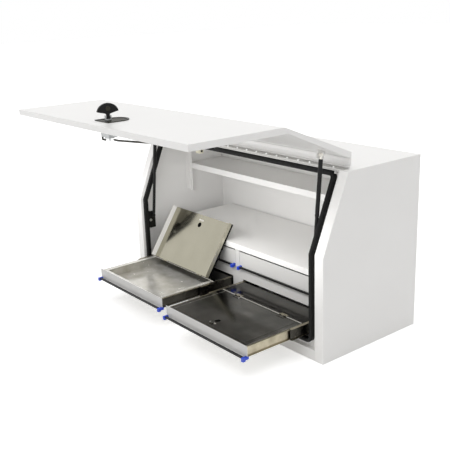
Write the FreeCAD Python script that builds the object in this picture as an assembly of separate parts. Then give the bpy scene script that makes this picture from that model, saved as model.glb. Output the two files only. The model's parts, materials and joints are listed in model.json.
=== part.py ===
"""Aluminium toolbox with a lift-up lid, a rear shelf and four locking drawers.

Millimetres. The origin is the centre of the base on the floor, +Z is up, the
opening faces -Y and X runs along the box. Everything is modelled as it stands
in use: lid up, lower drawers pulled out, the flap of the left one raised.
"""
import FreeCAD, Part
import math
import os

Vector = FreeCAD.Vector
X_AXIS = Vector(1, 0, 0)

# Case
CASE_LENGTH = 1400.0
CASE_DEPTH = 600.0
CASE_HEIGHT = 800.0
KNEE_HEIGHT = 467.0
TOP_SETBACK = 142.6
SHEET = 2.5

# Frame and seal round the opening
FLANGE_WIDTH = 48.0
GUTTER_WIDTH = 22.0
HEADER_FLANGE = 8.0
FRAME_DEPTH = 26.0
SEAL_WIDTH = 16.0
SEAL_TOP_WIDTH = 22.0
SEAL_PROUD = 1.5
SEAL_COVER = 7.0

# Piano hinge
HINGE_FROM_EDGE = 37.4
HINGE_RISE = 6.0
HINGE_FROM_LID_END = 5.0
HINGE_KNUCKLES = 20
KNUCKLE_RADIUS = 5.0
HINGE_PIN_RADIUS = 2.5
LEAF_WIDTH = 36.0
LEAF_THICKNESS = 2.0
RIVET_PITCH = 68.0
RIVET_FROM_LEAF_EDGE = 5.0
RIVET_RADIUS = 4.5
RIVET_RISE = 4.0
RIVET_CROWN = 3.0

# Lid, given as it lies when shut
LID_FROM_END = 25.0
LID_PROUD = 27.0
LID_TOP_RISE = 11.0
LID_RIDGE_BELOW_KNEE = 13.0
LID_EDGE_HEIGHT = 15.0
LID_GAP = 2.0
LID_OPEN_ANGLE = 90.0

# Lock on the lid, given as it lies when shut
LOCK_X = -5.0
DISH_WIDTH = 110.0
DISH_LENGTH = 123.0
DISH_FROM_EDGE = 60.0
DISH_THICKNESS = 4.0
DISH_RIM = 9.0
DISH_RECESS = 2.5
SPINDLE_FROM_DISH_END = 33.0
SPINDLE_RADIUS = 9.0
SPINDLE_BOSS_RADIUS = 13.0
SPINDLE_BOSS_HEIGHT = 5.0
LOCK_BODY_LENGTH = 58.0
LOCK_BODY_WIDTH = 40.0
LOCK_BODY_DEPTH = 40.0
CAM_RADIUS = 20.0
CAM_THICKNESS = 4.0
SPINDLE_TAIL = 12.0
HANDLE_WIDTH = 88.0
HANDLE_STEM = 22.0
HANDLE_STEM_WIDTH = 18.0
HANDLE_HEAD = 42.0
HANDLE_THICKNESS = 14.0
HANDLE_TURN = 78.0
HANDLE_PIN_RADIUS = 3.0
BARREL_RADIUS = 6.0
BARREL_RISE = 3.0
ROD_RADIUS = 4.0
ROD_OFFSET = 13.0
ROD_SHORT_OF_SEAL = 6.0
ROD_INNER_END = 12.0
ROD_CAM_GAP = 4.0
ROD_GUIDE_DEPTH = 21.0
LEFT_ROD_BENDS = (40.0, 90.0)
RIGHT_ROD_BENDS = (40.0, 420.0)
GUIDE_LENGTH = 24.0
GUIDE_WIDTH = 16.0
GUIDE_WALL = 4.0
GUIDE_FROM_ROD_END = 14.0
GUIDE_SPACING = 124.0

# Gas struts
STRUT_FROM_END = 100.0
STRUT_BEHIND_FRONT = 45.0
STRUT_BELOW_KNEE = 90.0
STRUT_DOWN_SLANT = 84.5
STRUT_BEHIND_SLANT = 16.0
STRUT_TUBE_RADIUS = 9.0
STRUT_TUBE_LENGTH = 240.0
STRUT_ROD_RADIUS = 4.0
STRUT_ROD_OVERLAP = 30.0
STRUT_END_WALL = 8.0
STRUT_EYE_RADIUS = 8.0
STRUT_EYE_WIDTH = 12.0
STRUT_NECK = 18.0
STRUT_NECK_RADIUS = 5.0
STUD_RADIUS = 4.0
BRACKET_SHEET = 3.0
BRACKET_OFFSET = 10.0
LOWER_BRACKET_HEIGHT = 92.0
LOWER_BRACKET_ABOVE = 23.0
LOWER_BRACKET_FOOT = 30.0
BRACKET_MARGIN = 15.0
LUG_ABOVE = 30.0

# Shelf
SHELF_HEIGHT = 601.0
SHELF_DEPTH = 233.0
SHELF_LIP = 31.0
SHELF_RAIL_WIDTH = 25.0
SHELF_RAIL_BELOW = 160.0
SHELF_RAIL_ABOVE = 82.0
RAIL_RIVET_FROM_END = 16.0
RAIL_RIVET_BELOW_LIP = 25.0

# Drawer cabinet
CABINET_SETBACK = 128.0
CABINET_FROM_END = 92.0
CABINET_FROM_BACK = 10.0
MULLION_WIDTH = 72.0
PLINTH_HEIGHT = 98.0
LOWER_WINDOW_HEIGHT = 65.0
RAIL_HEIGHT = 51.0
UPPER_WINDOW_HEIGHT = 92.0
DECK_LIP = 28.0
WINDOW_MARGIN = 1.5
UPPER_MULLION_WIDTH = 32.0
PARTITION_SETBACK = 12.0

# Drawers, given as they lie when shut
FACE_GAP = 1.5
FACE_LOW_GAP = 2.0
FACE_TOP_GAP = 3.0
UPPER_FACE_TOP_GAP = 6.0
TRAY_ABOVE_FACE_EDGE = 6.0
TRAY_BELOW_FACE_TOP = 5.0
DRAWER_FROM_CABINET_REAR = 14.5
DRAWER_OVERTRAVEL = 10.0
LEFT_DRAWER_SHORT = 30.0
TRAY_SHEET = 1.5
SLIDE_WIDTH = 21.0
SLIDE_TALL = 53.0
SLIDE_SHEET = 1.5
SLIDE_LIP = 8.0
SLIDE_CLEARANCE = 0.5
SLIDE_SETBACK = 10.0

# Hinged flap of a lower drawer
REAR_COVER_DEPTH = 134.5
FLAP_FRONT_RIM = 21.0
FLAP_SIDE_RIM = 23.0
FLAP_GAP = 1.5
FLAP_LIP = 30.0
FLAP_LEAN_GAP = 0.5
FLAP_AXIS_RISE = 2.6
FLAP_KNUCKLE_RADIUS = 2.5
FLAP_PIN_RADIUS = 1.25
FLAP_HINGE_LENGTH = 40.0
FLAP_HINGE_INSET = 90.0
FLAP_LEAF = 17.0
FINGER_HOLE_RADIUS = 13.0
FINGER_HOLE_FROM_EDGE = 54.0
TAB_FROM_EDGE = 14.0
TAB_SIZE = (20.0, 14.0, 3.0)

# Release bar with its two levers
BAR_SIZE = 8.0
BAR_AHEAD = 13.0
BAR_ABOVE_FACE_EDGE = 11.0
LEVER_WIDTH = 13.0
LEVER_ABOVE_BAR = 3.0
LEVER_BELOW_BAR = 8.5
LEVER_PAD_DROP = 13.0
LEVER_PAD_LENGTH = 14.0
LEVER_AHEAD = 22.0
LEVER_BEHIND = 9.0
LEVER_INSET = 1.0
LEVER_PIVOT_RADIUS = 2.5
NOTCH_GAP = 2.0

# Clearances
RUNNING_FIT = 0.05
CLEARANCE = 0.3
KNUCKLE_GAP = 0.4

# Values worked out from the driving dimensions
HALF_LENGTH = CASE_LENGTH / 2
FRONT = -CASE_DEPTH / 2
BACK = CASE_DEPTH / 2
SLANT = math.atan2(TOP_SETBACK, CASE_HEIGHT - KNEE_HEIGHT)
TOP_EDGE = (FRONT + TOP_SETBACK, CASE_HEIGHT)
FLANGE_EDGE = HALF_LENGTH - FLANGE_WIDTH
SEAL_OUTER = FLANGE_EDGE - GUTTER_WIDTH
UPSTAND = SEAL_OUTER - SEAL_WIDTH / 2
HINGE = (TOP_EDGE[0] + HINGE_FROM_EDGE, CASE_HEIGHT + HINGE_RISE)
LID_HALF = HALF_LENGTH - LID_FROM_END
HINGE_HALF = LID_HALF - HINGE_FROM_LID_END
KNUCKLE_PITCH = 2 * HINGE_HALF / HINGE_KNUCKLES
LID_FACE = FRONT - LID_PROUD
LINER_FACE = FRONT - LID_GAP
LOCK_Z = LID_EDGE_HEIGHT + DISH_FROM_EDGE + SPINDLE_FROM_DISH_END
LOCK_BODY_END = LINER_FACE + LOCK_BODY_DEPTH
CAM_FACE = LOCK_BODY_END + CLEARANCE + CAM_THICKNESS
ROD_Y = CAM_FACE + ROD_CAM_GAP + ROD_RADIUS
ROD_GUIDE_Y = LINER_FACE + ROD_GUIDE_DEPTH
ROD_GUIDE_Z = LOCK_Z + ROD_OFFSET
ROD_END = SEAL_OUTER - SEAL_WIDTH - ROD_SHORT_OF_SEAL
STRUT_X = HALF_LENGTH - STRUT_FROM_END
STRUT_LOWER = (FRONT + STRUT_BEHIND_FRONT, KNEE_HEIGHT - STRUT_BELOW_KNEE)
CABINET_FRONT = FRONT + CABINET_SETBACK
CABINET_REAR = BACK - CABINET_FROM_BACK
LOWER_WINDOW = (PLINTH_HEIGHT, PLINTH_HEIGHT + LOWER_WINDOW_HEIGHT)
UPPER_WINDOW = (LOWER_WINDOW[1] + RAIL_HEIGHT, LOWER_WINDOW[1] + RAIL_HEIGHT + UPPER_WINDOW_HEIGHT)
CABINET_TOP = UPPER_WINDOW[1] + DECK_LIP
LOWER_FACE = (LOWER_WINDOW[0] + FACE_LOW_GAP, LOWER_WINDOW[1] - FACE_TOP_GAP)
UPPER_FACE = (UPPER_WINDOW[0] + FACE_LOW_GAP, UPPER_WINDOW[1] - UPPER_FACE_TOP_GAP)
LOWER_TRAY = (LOWER_FACE[0] + TRAY_ABOVE_FACE_EDGE, LOWER_FACE[1] - TRAY_BELOW_FACE_TOP)
UPPER_TRAY = (UPPER_FACE[0] + TRAY_ABOVE_FACE_EDGE, UPPER_FACE[1] - TRAY_BELOW_FACE_TOP)
BAY_INNER = MULLION_WIDTH / 2
BAY_OUTER = HALF_LENGTH - CABINET_FROM_END
WINDOW_OUTER = BAY_OUTER - WINDOW_MARGIN
LOWER_WINDOW_INNER = BAY_INNER + WINDOW_MARGIN
UPPER_WINDOW_INNER = UPPER_MULLION_WIDTH / 2
BAY_CENTRE = (BAY_INNER + BAY_OUTER) / 2
FACE_FRONT = CABINET_FRONT
FACE_BACK = FACE_FRONT + SHEET
TRAY_INNER = BAY_INNER + SLIDE_WIDTH
TRAY_OUTER = BAY_OUTER - SLIDE_WIDTH
TRAY_REAR = CABINET_REAR - DRAWER_FROM_CABINET_REAR
DRAWER_TRAVEL = TRAY_REAR - FACE_BACK + DRAWER_OVERTRAVEL
FLAP_AXIS_Y = TRAY_REAR - REAR_COVER_DEPTH
FLAP_EDGE = FACE_FRONT + FLAP_FRONT_RIM
COVER_TOP = LOWER_TRAY[1] + TRAY_SHEET
FLAP_AXIS_Z = COVER_TOP + FLAP_AXIS_RISE


def block(x_range, y_range, z_range):
    """A box between the given limits on each axis."""
    corner = Vector(x_range[0], y_range[0], z_range[0])
    sizes = [high - low for low, high in (x_range, y_range, z_range)]
    return Part.makeBox(*sizes, corner)


def prism(outline, x_range):
    """A (y, z) outline drawn out along X."""
    points = [Vector(x_range[0], y, z) for y, z in outline]
    face = Part.Face(Part.makePolygon(points + points[:1]))
    return face.extrude(Vector(x_range[1] - x_range[0], 0, 0))


def bar(start, end, radius):
    """A round bar from one point to another."""
    start, end = Vector(*start), Vector(*end)
    return Part.makeCylinder(radius, (end - start).Length, start, end - start)


def x_bar(x_range, y, z, radius):
    """A round bar along X."""
    return bar((x_range[0], y, z), (x_range[1], y, z), radius)


def y_bar(y_range, x, z, radius):
    """A round bar along Y."""
    return bar((x, y_range[0], z), (x, y_range[1], z), radius)


def fused(*shapes):
    """One solid from shapes that touch or overlap."""
    return shapes[0].multiFuse(list(shapes[1:])).removeSplitter()


def mirrored(shape, x=0.0):
    """The shape seen in a mirror that stands across X."""
    return shape.mirror(Vector(x, 0, 0), X_AXIS)


def pair(shape, x=0.0):
    """The shape and its mirror image."""
    return [shape, mirrored(shape, x)]


def save(name, solids):
    """Write the solids of one piece, or of a group of like pieces."""
    Part.makeCompound(solids).exportStep(f"parts/{name}.step")


def offset_path(path, distance):
    """A (y, z) path moved sideways, to its right for a positive distance."""
    lines = []
    for (y0, z0), (y1, z1) in zip(path, path[1:]):
        length = math.hypot(y1 - y0, z1 - z0)
        along = ((y1 - y0) / length, (z1 - z0) / length)
        lines.append(((y0 + along[1] * distance, z0 - along[0] * distance), along, length))
    moved = [lines[0][0]]
    for (start, along, _), (other, turn, _) in zip(lines, lines[1:]):
        across = along[0] * turn[1] - along[1] * turn[0]
        reach = ((other[0] - start[0]) * turn[1] - (other[1] - start[1]) * turn[0]) / across
        moved.append((start[0] + along[0] * reach, start[1] + along[1] * reach))
    start, along, length = lines[-1]
    moved.append((start[0] + along[0] * length, start[1] + along[1] * length))
    return moved


def strip(path, near, far):
    """The outline of a band between two offsets of a path."""
    return offset_path(path, near) + offset_path(path, far)[::-1]


def front_path(low, below_top):
    """The front of the case in section, from a height up to a distance below its top edge."""
    top = (TOP_EDGE[0] - below_top * math.sin(SLANT), TOP_EDGE[1] - below_top * math.cos(SLANT))
    return [(FRONT, low), (FRONT, KNEE_HEIGHT), top]


def slant_point(below_top, inward):
    """A point given by its distance down the slant and its depth behind it."""
    return (TOP_EDGE[0] - below_top * math.sin(SLANT) + inward * math.cos(SLANT),
            TOP_EDGE[1] - below_top * math.cos(SLANT) - inward * math.sin(SLANT))


def slant_patch(below_range, inward_range):
    """The outline of a rectangle square to the slant."""
    (low, high), (near, far) = below_range, inward_range
    return [slant_point(low, near), slant_point(high, near),
            slant_point(high, far), slant_point(low, far)]


def opened(shape):
    """A piece of the lid, turned from shut to open."""
    return shape.rotated(Vector(0, *HINGE), X_AXIS, -LID_OPEN_ANGLE)


def strut_upper():
    """The strut's pivot on the open lid, from its place on the slant of the shut one."""
    y, z = slant_point(STRUT_DOWN_SLANT, STRUT_BEHIND_SLANT)
    turn = math.radians(LID_OPEN_ANGLE)
    ahead, above = y - HINGE[0], z - HINGE[1]
    return (HINGE[0] + ahead * math.cos(turn) + above * math.sin(turn),
            HINGE[1] - ahead * math.sin(turn) + above * math.cos(turn))


def flap_open_angle():
    """How far a flap turns from shut until it all but leans on the front edge of the deck."""
    axis_y = FLAP_AXIS_Y - DRAWER_TRAVEL + LEFT_DRAWER_SHORT
    ahead, above = CABINET_FRONT - axis_y, CABINET_TOP - FLAP_AXIS_Z
    face_offset = FLAP_AXIS_Z - LOWER_TRAY[1] - FLAP_LEAN_GAP
    reach = math.hypot(ahead, above)
    return 90 + math.degrees(math.atan2(ahead, above) + math.asin(face_offset / reach))


def make_jamb():
    """The right upright of the opening: flange, gutter and upstand in one folded strip."""
    gutter_floor = (FRAME_DEPTH - SHEET, FRAME_DEPTH)
    upstand = (UPSTAND - SHEET / 2, UPSTAND + SHEET / 2)
    seat = FLANGE_WIDTH + GUTTER_WIDTH + (SEAL_WIDTH - SHEET) / 2
    flange = prism(strip(front_path(0, 0), 0, SHEET), (FLANGE_EDGE, HALF_LENGTH - SHEET))
    wall = prism(strip(front_path(0, 0), 0, FRAME_DEPTH), (FLANGE_EDGE, FLANGE_EDGE + SHEET))
    floor = prism(strip(front_path(FLANGE_WIDTH, HEADER_FLANGE), *gutter_floor),
                  (upstand[0], FLANGE_EDGE))
    crest = prism(strip(front_path(seat, HEADER_FLANGE), SEAL_COVER, FRAME_DEPTH), upstand)
    return fused(flange, wall, floor, crest)


def make_sill():
    """The lower edge of the opening, with the section of the jambs."""
    seat = FLANGE_WIDTH + GUTTER_WIDTH + (SEAL_WIDTH - SHEET) / 2
    back = FRONT + FRAME_DEPTH
    across = (-FLANGE_EDGE, FLANGE_EDGE)
    inner = (-UPSTAND + SHEET / 2, UPSTAND - SHEET / 2)
    flange = block(across, (FRONT, FRONT + SHEET), (0, FLANGE_WIDTH))
    wall = block(across, (FRONT, back), (FLANGE_WIDTH - SHEET, FLANGE_WIDTH))
    floor = block(inner, (back - SHEET, back), (FLANGE_WIDTH - SHEET, seat + SHEET))
    crest = block(inner, (FRONT + SEAL_COVER, back), (seat, seat + SHEET))
    return fused(flange, wall, floor, crest)


def make_top():
    """The top panel, folded down along the slant into a lip that carries the seal."""
    seat = HEADER_FLANGE + (SEAL_TOP_WIDTH - SHEET) / 2
    across = (-FLANGE_EDGE, FLANGE_EDGE)
    inner = (-UPSTAND + SHEET / 2, UPSTAND - SHEET / 2)
    under = SHEET / math.cos(SLANT)
    outline = [TOP_EDGE, (BACK, CASE_HEIGHT), (BACK, CASE_HEIGHT - SHEET), slant_point(under, 0)]
    plate = prism(outline, (-HALF_LENGTH + SHEET, HALF_LENGTH - SHEET))
    flange = prism(slant_patch((under / 2, HEADER_FLANGE), (0, SHEET)), across)
    wall = prism(slant_patch((HEADER_FLANGE - SHEET, HEADER_FLANGE), (0, FRAME_DEPTH)), across)
    floor = prism(slant_patch((HEADER_FLANGE - SHEET, seat + SHEET),
                              (FRAME_DEPTH - SHEET, FRAME_DEPTH)), inner)
    crest = prism(slant_patch((seat, seat + SHEET), (SEAL_COVER, FRAME_DEPTH)), inner)
    return fused(plate, flange, wall, floor, crest)


def make_seal(carriers):
    """The rubber ring on the upstand, slotted to grip it."""
    low = FLANGE_WIDTH + GUTTER_WIDTH
    depth = FRAME_DEPTH - SHEET
    ring = prism(strip(front_path(low, HEADER_FLANGE), -SEAL_PROUD, depth),
                 (-SEAL_OUTER, SEAL_OUTER))
    inner = SEAL_OUTER - SEAL_WIDTH
    hole = prism(strip(front_path(low + SEAL_WIDTH, HEADER_FLANGE + SEAL_TOP_WIDTH),
                       -SEAL_PROUD - SHEET, depth + SHEET), (-inner, inner))
    return ring.cut(hole).cut(Part.makeCompound(carriers))


def make_case():
    """Floor, back, top, ends and the frame of the opening."""
    inside = (-HALF_LENGTH + SHEET, HALF_LENGTH - SHEET)
    profile = [(FRONT, 0), (BACK, 0), (BACK, CASE_HEIGHT), TOP_EDGE, (FRONT, KNEE_HEIGHT)]
    end = prism(profile, (HALF_LENGTH - SHEET, HALF_LENGTH))
    top = make_top()
    jamb = make_jamb().cut(top)
    sill = make_sill()
    save("floor_panel", [block(inside, (FRONT + SHEET, BACK - SHEET), (0, SHEET)).cut(jamb)
                         .cut(mirrored(jamb)).cut(sill)])
    save("back_panel", [block(inside, (BACK - SHEET, BACK), (0, CASE_HEIGHT - SHEET))])
    save("top_panel", [top])
    save("right_end_panel", [end])
    save("left_end_panel", [mirrored(end)])
    save("right_jamb", [jamb])
    save("left_jamb", [mirrored(jamb)])
    save("opening_sill", [sill])
    save("door_seal", [make_seal([top, sill] + pair(jamb))])


def hinge_knuckles(first):
    """Every other knuckle of the piano hinge, starting with the given one."""
    knuckles = []
    for index in range(first, HINGE_KNUCKLES, 2):
        start = -HINGE_HALF + index * KNUCKLE_PITCH + KNUCKLE_GAP / 2
        knuckles.append(x_bar((start, start + KNUCKLE_PITCH - KNUCKLE_GAP), *HINGE, KNUCKLE_RADIUS))
    return knuckles


def hinge_leaf(first, z_range):
    """A leaf with its knuckles, cleared for the pin and for the other leaf's knuckles."""
    across = (-HINGE_HALF, HINGE_HALF)
    leaf = block(across, (HINGE[0] - LEAF_WIDTH, HINGE[0]), z_range)
    reach = KNUCKLE_RADIUS + CLEARANCE
    for index in range(1 - first, HINGE_KNUCKLES, 2):
        start = -HINGE_HALF + index * KNUCKLE_PITCH
        leaf = leaf.cut(block((start - KNUCKLE_GAP / 2, start + KNUCKLE_PITCH + KNUCKLE_GAP / 2),
                              (HINGE[0] - reach, HINGE[0] + reach), z_range))
    bore = x_bar(across, *HINGE, HINGE_PIN_RADIUS + first * RUNNING_FIT)
    return fused(leaf, *hinge_knuckles(first)).cut(bore)


def make_hinge():
    """The piano hinge between the top panel and the lid."""
    fixed_leaf = hinge_leaf(0, (CASE_HEIGHT, CASE_HEIGHT + LEAF_THICKNESS))
    lid_under = CASE_HEIGHT + LID_TOP_RISE - SHEET
    moving_leaf = hinge_leaf(1, (lid_under - LEAF_THICKNESS, lid_under))
    save("hinge_fixed_leaf", [fixed_leaf])
    save("hinge_moving_leaf", [opened(moving_leaf)])
    save("hinge_pin", [x_bar((-HINGE_HALF, HINGE_HALF), *HINGE, HINGE_PIN_RADIUS)])


def rivet(base, direction):
    """A rivet head with sloping sides that sits on a face."""
    return Part.makeCone(RIVET_RADIUS, RIVET_CROWN, RIVET_RISE, Vector(*base), Vector(*direction))


def make_rivets():
    """Rivets of the fixed hinge leaf and of the shelf rails."""
    count = int((HINGE_HALF - RIVET_RADIUS) / RIVET_PITCH)
    row = HINGE[0] - LEAF_WIDTH + RIVET_FROM_LEAF_EDGE
    rivets = [rivet((index * RIVET_PITCH, row, CASE_HEIGHT + LEAF_THICKNESS), (0, 0, 1))
              for index in range(-count, count + 1)]
    rail_y = BACK - SHELF_DEPTH - SHELF_RAIL_WIDTH / 2
    for z in (SHELF_HEIGHT - SHELF_RAIL_BELOW + RAIL_RIVET_FROM_END,
              SHELF_HEIGHT - SHELF_LIP - RAIL_RIVET_BELOW_LIP,
              SHELF_HEIGHT + SHELF_RAIL_ABOVE - RAIL_RIVET_FROM_END):
        rivets += pair(rivet((HALF_LENGTH - 2 * SHEET, rail_y, z), (-1, 0, 0)))
    save("case_rivets", rivets)


def make_shelf():
    """The rear shelf and the angles that carry it on the end walls."""
    front = BACK - SHELF_DEPTH
    wall = HALF_LENGTH - SHEET
    inside = (-wall, wall)
    plate = block(inside, (front, BACK - SHEET), (SHELF_HEIGHT - SHEET, SHELF_HEIGHT))
    lip = block(inside, (front, front + SHEET), (SHELF_HEIGHT - SHELF_LIP, SHELF_HEIGHT))
    save("rear_shelf", [fused(plate, lip)])
    rail_z = (SHELF_HEIGHT - SHELF_RAIL_BELOW, SHELF_HEIGHT + SHELF_RAIL_ABOVE)
    upright = fused(
        block((wall - SHEET, wall), (front - SHELF_RAIL_WIDTH, front), rail_z),
        block((wall - SHELF_RAIL_WIDTH, wall), (front - SHEET, front), rail_z))
    under = SHELF_HEIGHT - SHEET
    cleat = fused(
        block((wall - SHEET, wall), (front + SHEET, BACK - SHEET), (under - SHELF_RAIL_WIDTH, under)),
        block((wall - SHELF_RAIL_WIDTH, wall), (front + SHEET, BACK - SHEET), (under - SHEET, under)))
    save("shelf_rails", pair(upright) + pair(cleat))


def make_cabinet():
    """The housing of the drawers, open at the back."""
    depth = (CABINET_FRONT + SHEET, CABINET_REAR)
    height = (SHEET, CABINET_TOP - SHEET)
    side = block((BAY_OUTER, BAY_OUTER + SHEET), depth, height)
    save("cabinet_sides", pair(side))
    behind = (depth[0] + PARTITION_SETBACK, depth[1])
    web = block((BAY_INNER - SHEET, BAY_INNER), behind, height)
    foot = block((-BAY_INNER, BAY_INNER), behind, (SHEET, 2 * SHEET))
    save("cabinet_partition", [fused(web, mirrored(web), foot)])
    across = (-BAY_OUTER - SHEET, BAY_OUTER + SHEET)
    thickness = (CABINET_FRONT, CABINET_FRONT + SHEET)
    plinth = block(across, thickness, (SHEET, LOWER_WINDOW[0]))
    mullion = block((-LOWER_WINDOW_INNER, LOWER_WINDOW_INNER), thickness, (LOWER_WINDOW[0], UPPER_WINDOW[0]))
    upper_mullion = block((-UPPER_WINDOW_INNER, UPPER_WINDOW_INNER), thickness, UPPER_WINDOW)
    outer_post = block((WINDOW_OUTER, BAY_OUTER + SHEET), thickness, (LOWER_WINDOW[0], UPPER_WINDOW[1]))
    mid_rail = block((LOWER_WINDOW_INNER, WINDOW_OUTER), thickness, (LOWER_WINDOW[1], UPPER_WINDOW[0]))
    save("cabinet_front_frame", [plinth, mullion, upper_mullion] + pair(outer_post) + pair(mid_rail))
    plate = block(across, (CABINET_FRONT, CABINET_REAR), (CABINET_TOP - SHEET, CABINET_TOP))
    lip = block(across, thickness, (CABINET_TOP - DECK_LIP, CABINET_TOP))
    save("cabinet_deck", [fused(plate, lip)])


def channel(x_range, height, z_middle, y_range, web_at):
    """A slide member in section: two lips along X and a web at the given place."""
    half = height / 2
    web = block((web_at, web_at + SLIDE_SHEET), y_range, (z_middle - half, z_middle + half))
    lower = block(x_range, y_range, (z_middle - half, z_middle - half + SLIDE_SHEET))
    upper = block(x_range, y_range, (z_middle + half - SLIDE_SHEET, z_middle + half))
    return fused(web, lower, upper)


def slide_members(tray):
    """The outer, middle and inner members of the two slides of a right-hand drawer, shut."""
    z_middle = (tray[0] + tray[1]) / 2
    y_range = (FACE_BACK + SLIDE_SETBACK, TRAY_REAR)
    step = 2 * (SLIDE_SHEET + SLIDE_CLEARANCE)
    x0, x1 = BAY_INNER, TRAY_INNER
    middle_x = (x0 + SLIDE_SHEET + 2 * SLIDE_CLEARANCE, x1 - SLIDE_SHEET - 2 * SLIDE_CLEARANCE)
    middle_web = (middle_x[0] + middle_x[1] - SLIDE_SHEET) / 2
    inner_x = (middle_web + SLIDE_SHEET + 2 * SLIDE_CLEARANCE, x1)
    outer = channel((x0, x0 + SLIDE_LIP), SLIDE_TALL, z_middle, y_range, x0)
    middle = channel(middle_x, SLIDE_TALL - step, z_middle, y_range, middle_web)
    inner = channel(inner_x, SLIDE_TALL - 2 * step, z_middle, y_range, x1 - SLIDE_SHEET)
    return [pair(member, BAY_CENTRE) for member in (outer, middle, inner)]


def lever_places(inner):
    """The limits on X of the two levers of a right-hand drawer, from its window's inner edge."""
    first = inner + FACE_GAP + LEVER_INSET
    last = WINDOW_OUTER - FACE_GAP - LEVER_INSET
    return (first, first + LEVER_WIDTH), (last - LEVER_WIDTH, last)


def release_bar(face_low, inner):
    """The bar across a drawer's face, with a padded lever at each end that turns on a stub in the tray."""
    z = face_low + BAR_ABOVE_FACE_EDGE
    half = BAR_SIZE / 2
    first, last = lever_places(inner)
    y = FACE_FRONT - BAR_AHEAD
    rail = block((first[1], last[0]), (y - half, y + half), (z - half, z + half))
    lever_y = (FACE_FRONT - LEVER_AHEAD, FACE_FRONT + LEVER_BEHIND)
    levers = []
    for x_range, stub_x in ((first, (first[1], TRAY_INNER - CLEARANCE)),
                            (last, (TRAY_OUTER + CLEARANCE, last[0]))):
        lever = block(x_range, lever_y, (z - LEVER_BELOW_BAR, z + LEVER_ABOVE_BAR))
        pad = block(x_range, (lever_y[0], lever_y[0] + LEVER_PAD_LENGTH),
                    (z - LEVER_PAD_DROP, z - LEVER_BELOW_BAR))
        stub = x_bar(stub_x, lever_y[1] - LEVER_PIVOT_RADIUS, z, LEVER_PIVOT_RADIUS)
        levers.append(fused(lever, pad, stub))
    return [rail] + levers


def drawer_face(z_range, inner):
    """The front plate of a drawer, notched for the two levers."""
    x_range = (inner + FACE_GAP, WINDOW_OUTER - FACE_GAP)
    depth = (FACE_FRONT, FACE_BACK)
    notch_z = (z_range[0], z_range[0] + BAR_ABOVE_FACE_EDGE + LEVER_ABOVE_BAR + NOTCH_GAP)
    first, last = lever_places(inner)
    notches = [block((x_range[0], first[1] + NOTCH_GAP), depth, notch_z),
               block((last[0] - NOTCH_GAP, x_range[1]), depth, notch_z)]
    return block(x_range, depth, z_range).cut(Part.makeCompound(notches))


def drawer_tray(z_range):
    """The open tray behind a drawer's face."""
    outside = block((TRAY_INNER, TRAY_OUTER), (FACE_BACK, TRAY_REAR), z_range)
    inside = block((TRAY_INNER + TRAY_SHEET, TRAY_OUTER - TRAY_SHEET),
                   (FACE_BACK + TRAY_SHEET, TRAY_REAR - TRAY_SHEET),
                   (z_range[0] + TRAY_SHEET, z_range[1]))
    return outside.cut(inside)


def flap_edges():
    """The limits of the flap on X and Y when it lies shut."""
    x_range = (TRAY_INNER + FLAP_SIDE_RIM + FLAP_GAP, TRAY_OUTER - FLAP_SIDE_RIM - FLAP_GAP)
    return x_range, (FLAP_EDGE, FLAP_AXIS_Y - FLAP_AXIS_RISE)


def tray_rim():
    """The ledge round the flap, folded in from the front and sides of the tray."""
    x_range, y_range = flap_edges()
    top = (LOWER_TRAY[1] - TRAY_SHEET, LOWER_TRAY[1])
    sheet = block((TRAY_INNER, TRAY_OUTER), (FACE_BACK, FLAP_AXIS_Y), top)
    hole = block((x_range[0] - FLAP_GAP, x_range[1] + FLAP_GAP),
                 (y_range[0] - FLAP_GAP, FLAP_AXIS_Y), top)
    return sheet.cut(hole)


def flap_hinge_places():
    """The middles of the two flap hinges along X."""
    x_range, _ = flap_edges()
    return (x_range[0] + FLAP_HINGE_INSET, x_range[1] - FLAP_HINGE_INSET)


def make_flap():
    """The flap, shut: a pan with side lips, a finger hole, a tab and its hinge knuckles."""
    x_range, y_range = flap_edges()
    top = LOWER_TRAY[1]
    plate = block(x_range, y_range, (top - TRAY_SHEET, top))
    lip = block((x_range[0], x_range[0] + TRAY_SHEET), y_range, (top - FLAP_LIP, top))
    hole_y = FLAP_EDGE + FINGER_HOLE_FROM_EDGE
    hole = bar((BAY_CENTRE, hole_y, top - FLAP_LIP), (BAY_CENTRE, hole_y, top), FINGER_HOLE_RADIUS)
    body = fused(plate, *pair(lip, BAY_CENTRE)).cut(hole)
    tab_y = FLAP_EDGE + TAB_FROM_EDGE
    tab = block((BAY_CENTRE - TAB_SIZE[0] / 2, BAY_CENTRE + TAB_SIZE[0] / 2),
                (tab_y, tab_y + TAB_SIZE[1]), (top, top + TAB_SIZE[2]))
    half, core = FLAP_HINGE_LENGTH / 2, FLAP_HINGE_LENGTH / 6
    leaf_top = FLAP_AXIS_Z - FLAP_KNUCKLE_RADIUS + KNUCKLE_GAP
    leaves = []
    for x in flap_hinge_places():
        leaf = block((x - half, x + half), (FLAP_AXIS_Y - FLAP_LEAF, FLAP_AXIS_Y), (top, leaf_top))
        rings = [x_bar((x + core + KNUCKLE_GAP, x + half), FLAP_AXIS_Y, FLAP_AXIS_Z, FLAP_KNUCKLE_RADIUS),
                 x_bar((x - half, x - core - KNUCKLE_GAP), FLAP_AXIS_Y, FLAP_AXIS_Z, FLAP_KNUCKLE_RADIUS)]
        room = block((x - core - KNUCKLE_GAP, x + core + KNUCKLE_GAP),
                     (FLAP_AXIS_Y - FLAP_KNUCKLE_RADIUS - CLEARANCE, FLAP_AXIS_Y), (top, leaf_top))
        bore = x_bar((x - half, x + half), FLAP_AXIS_Y, FLAP_AXIS_Z, FLAP_PIN_RADIUS + RUNNING_FIT)
        leaves.append(fused(leaf.cut(room), *rings).cut(bore))
    return [fused(body, tab, *leaves)]


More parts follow.
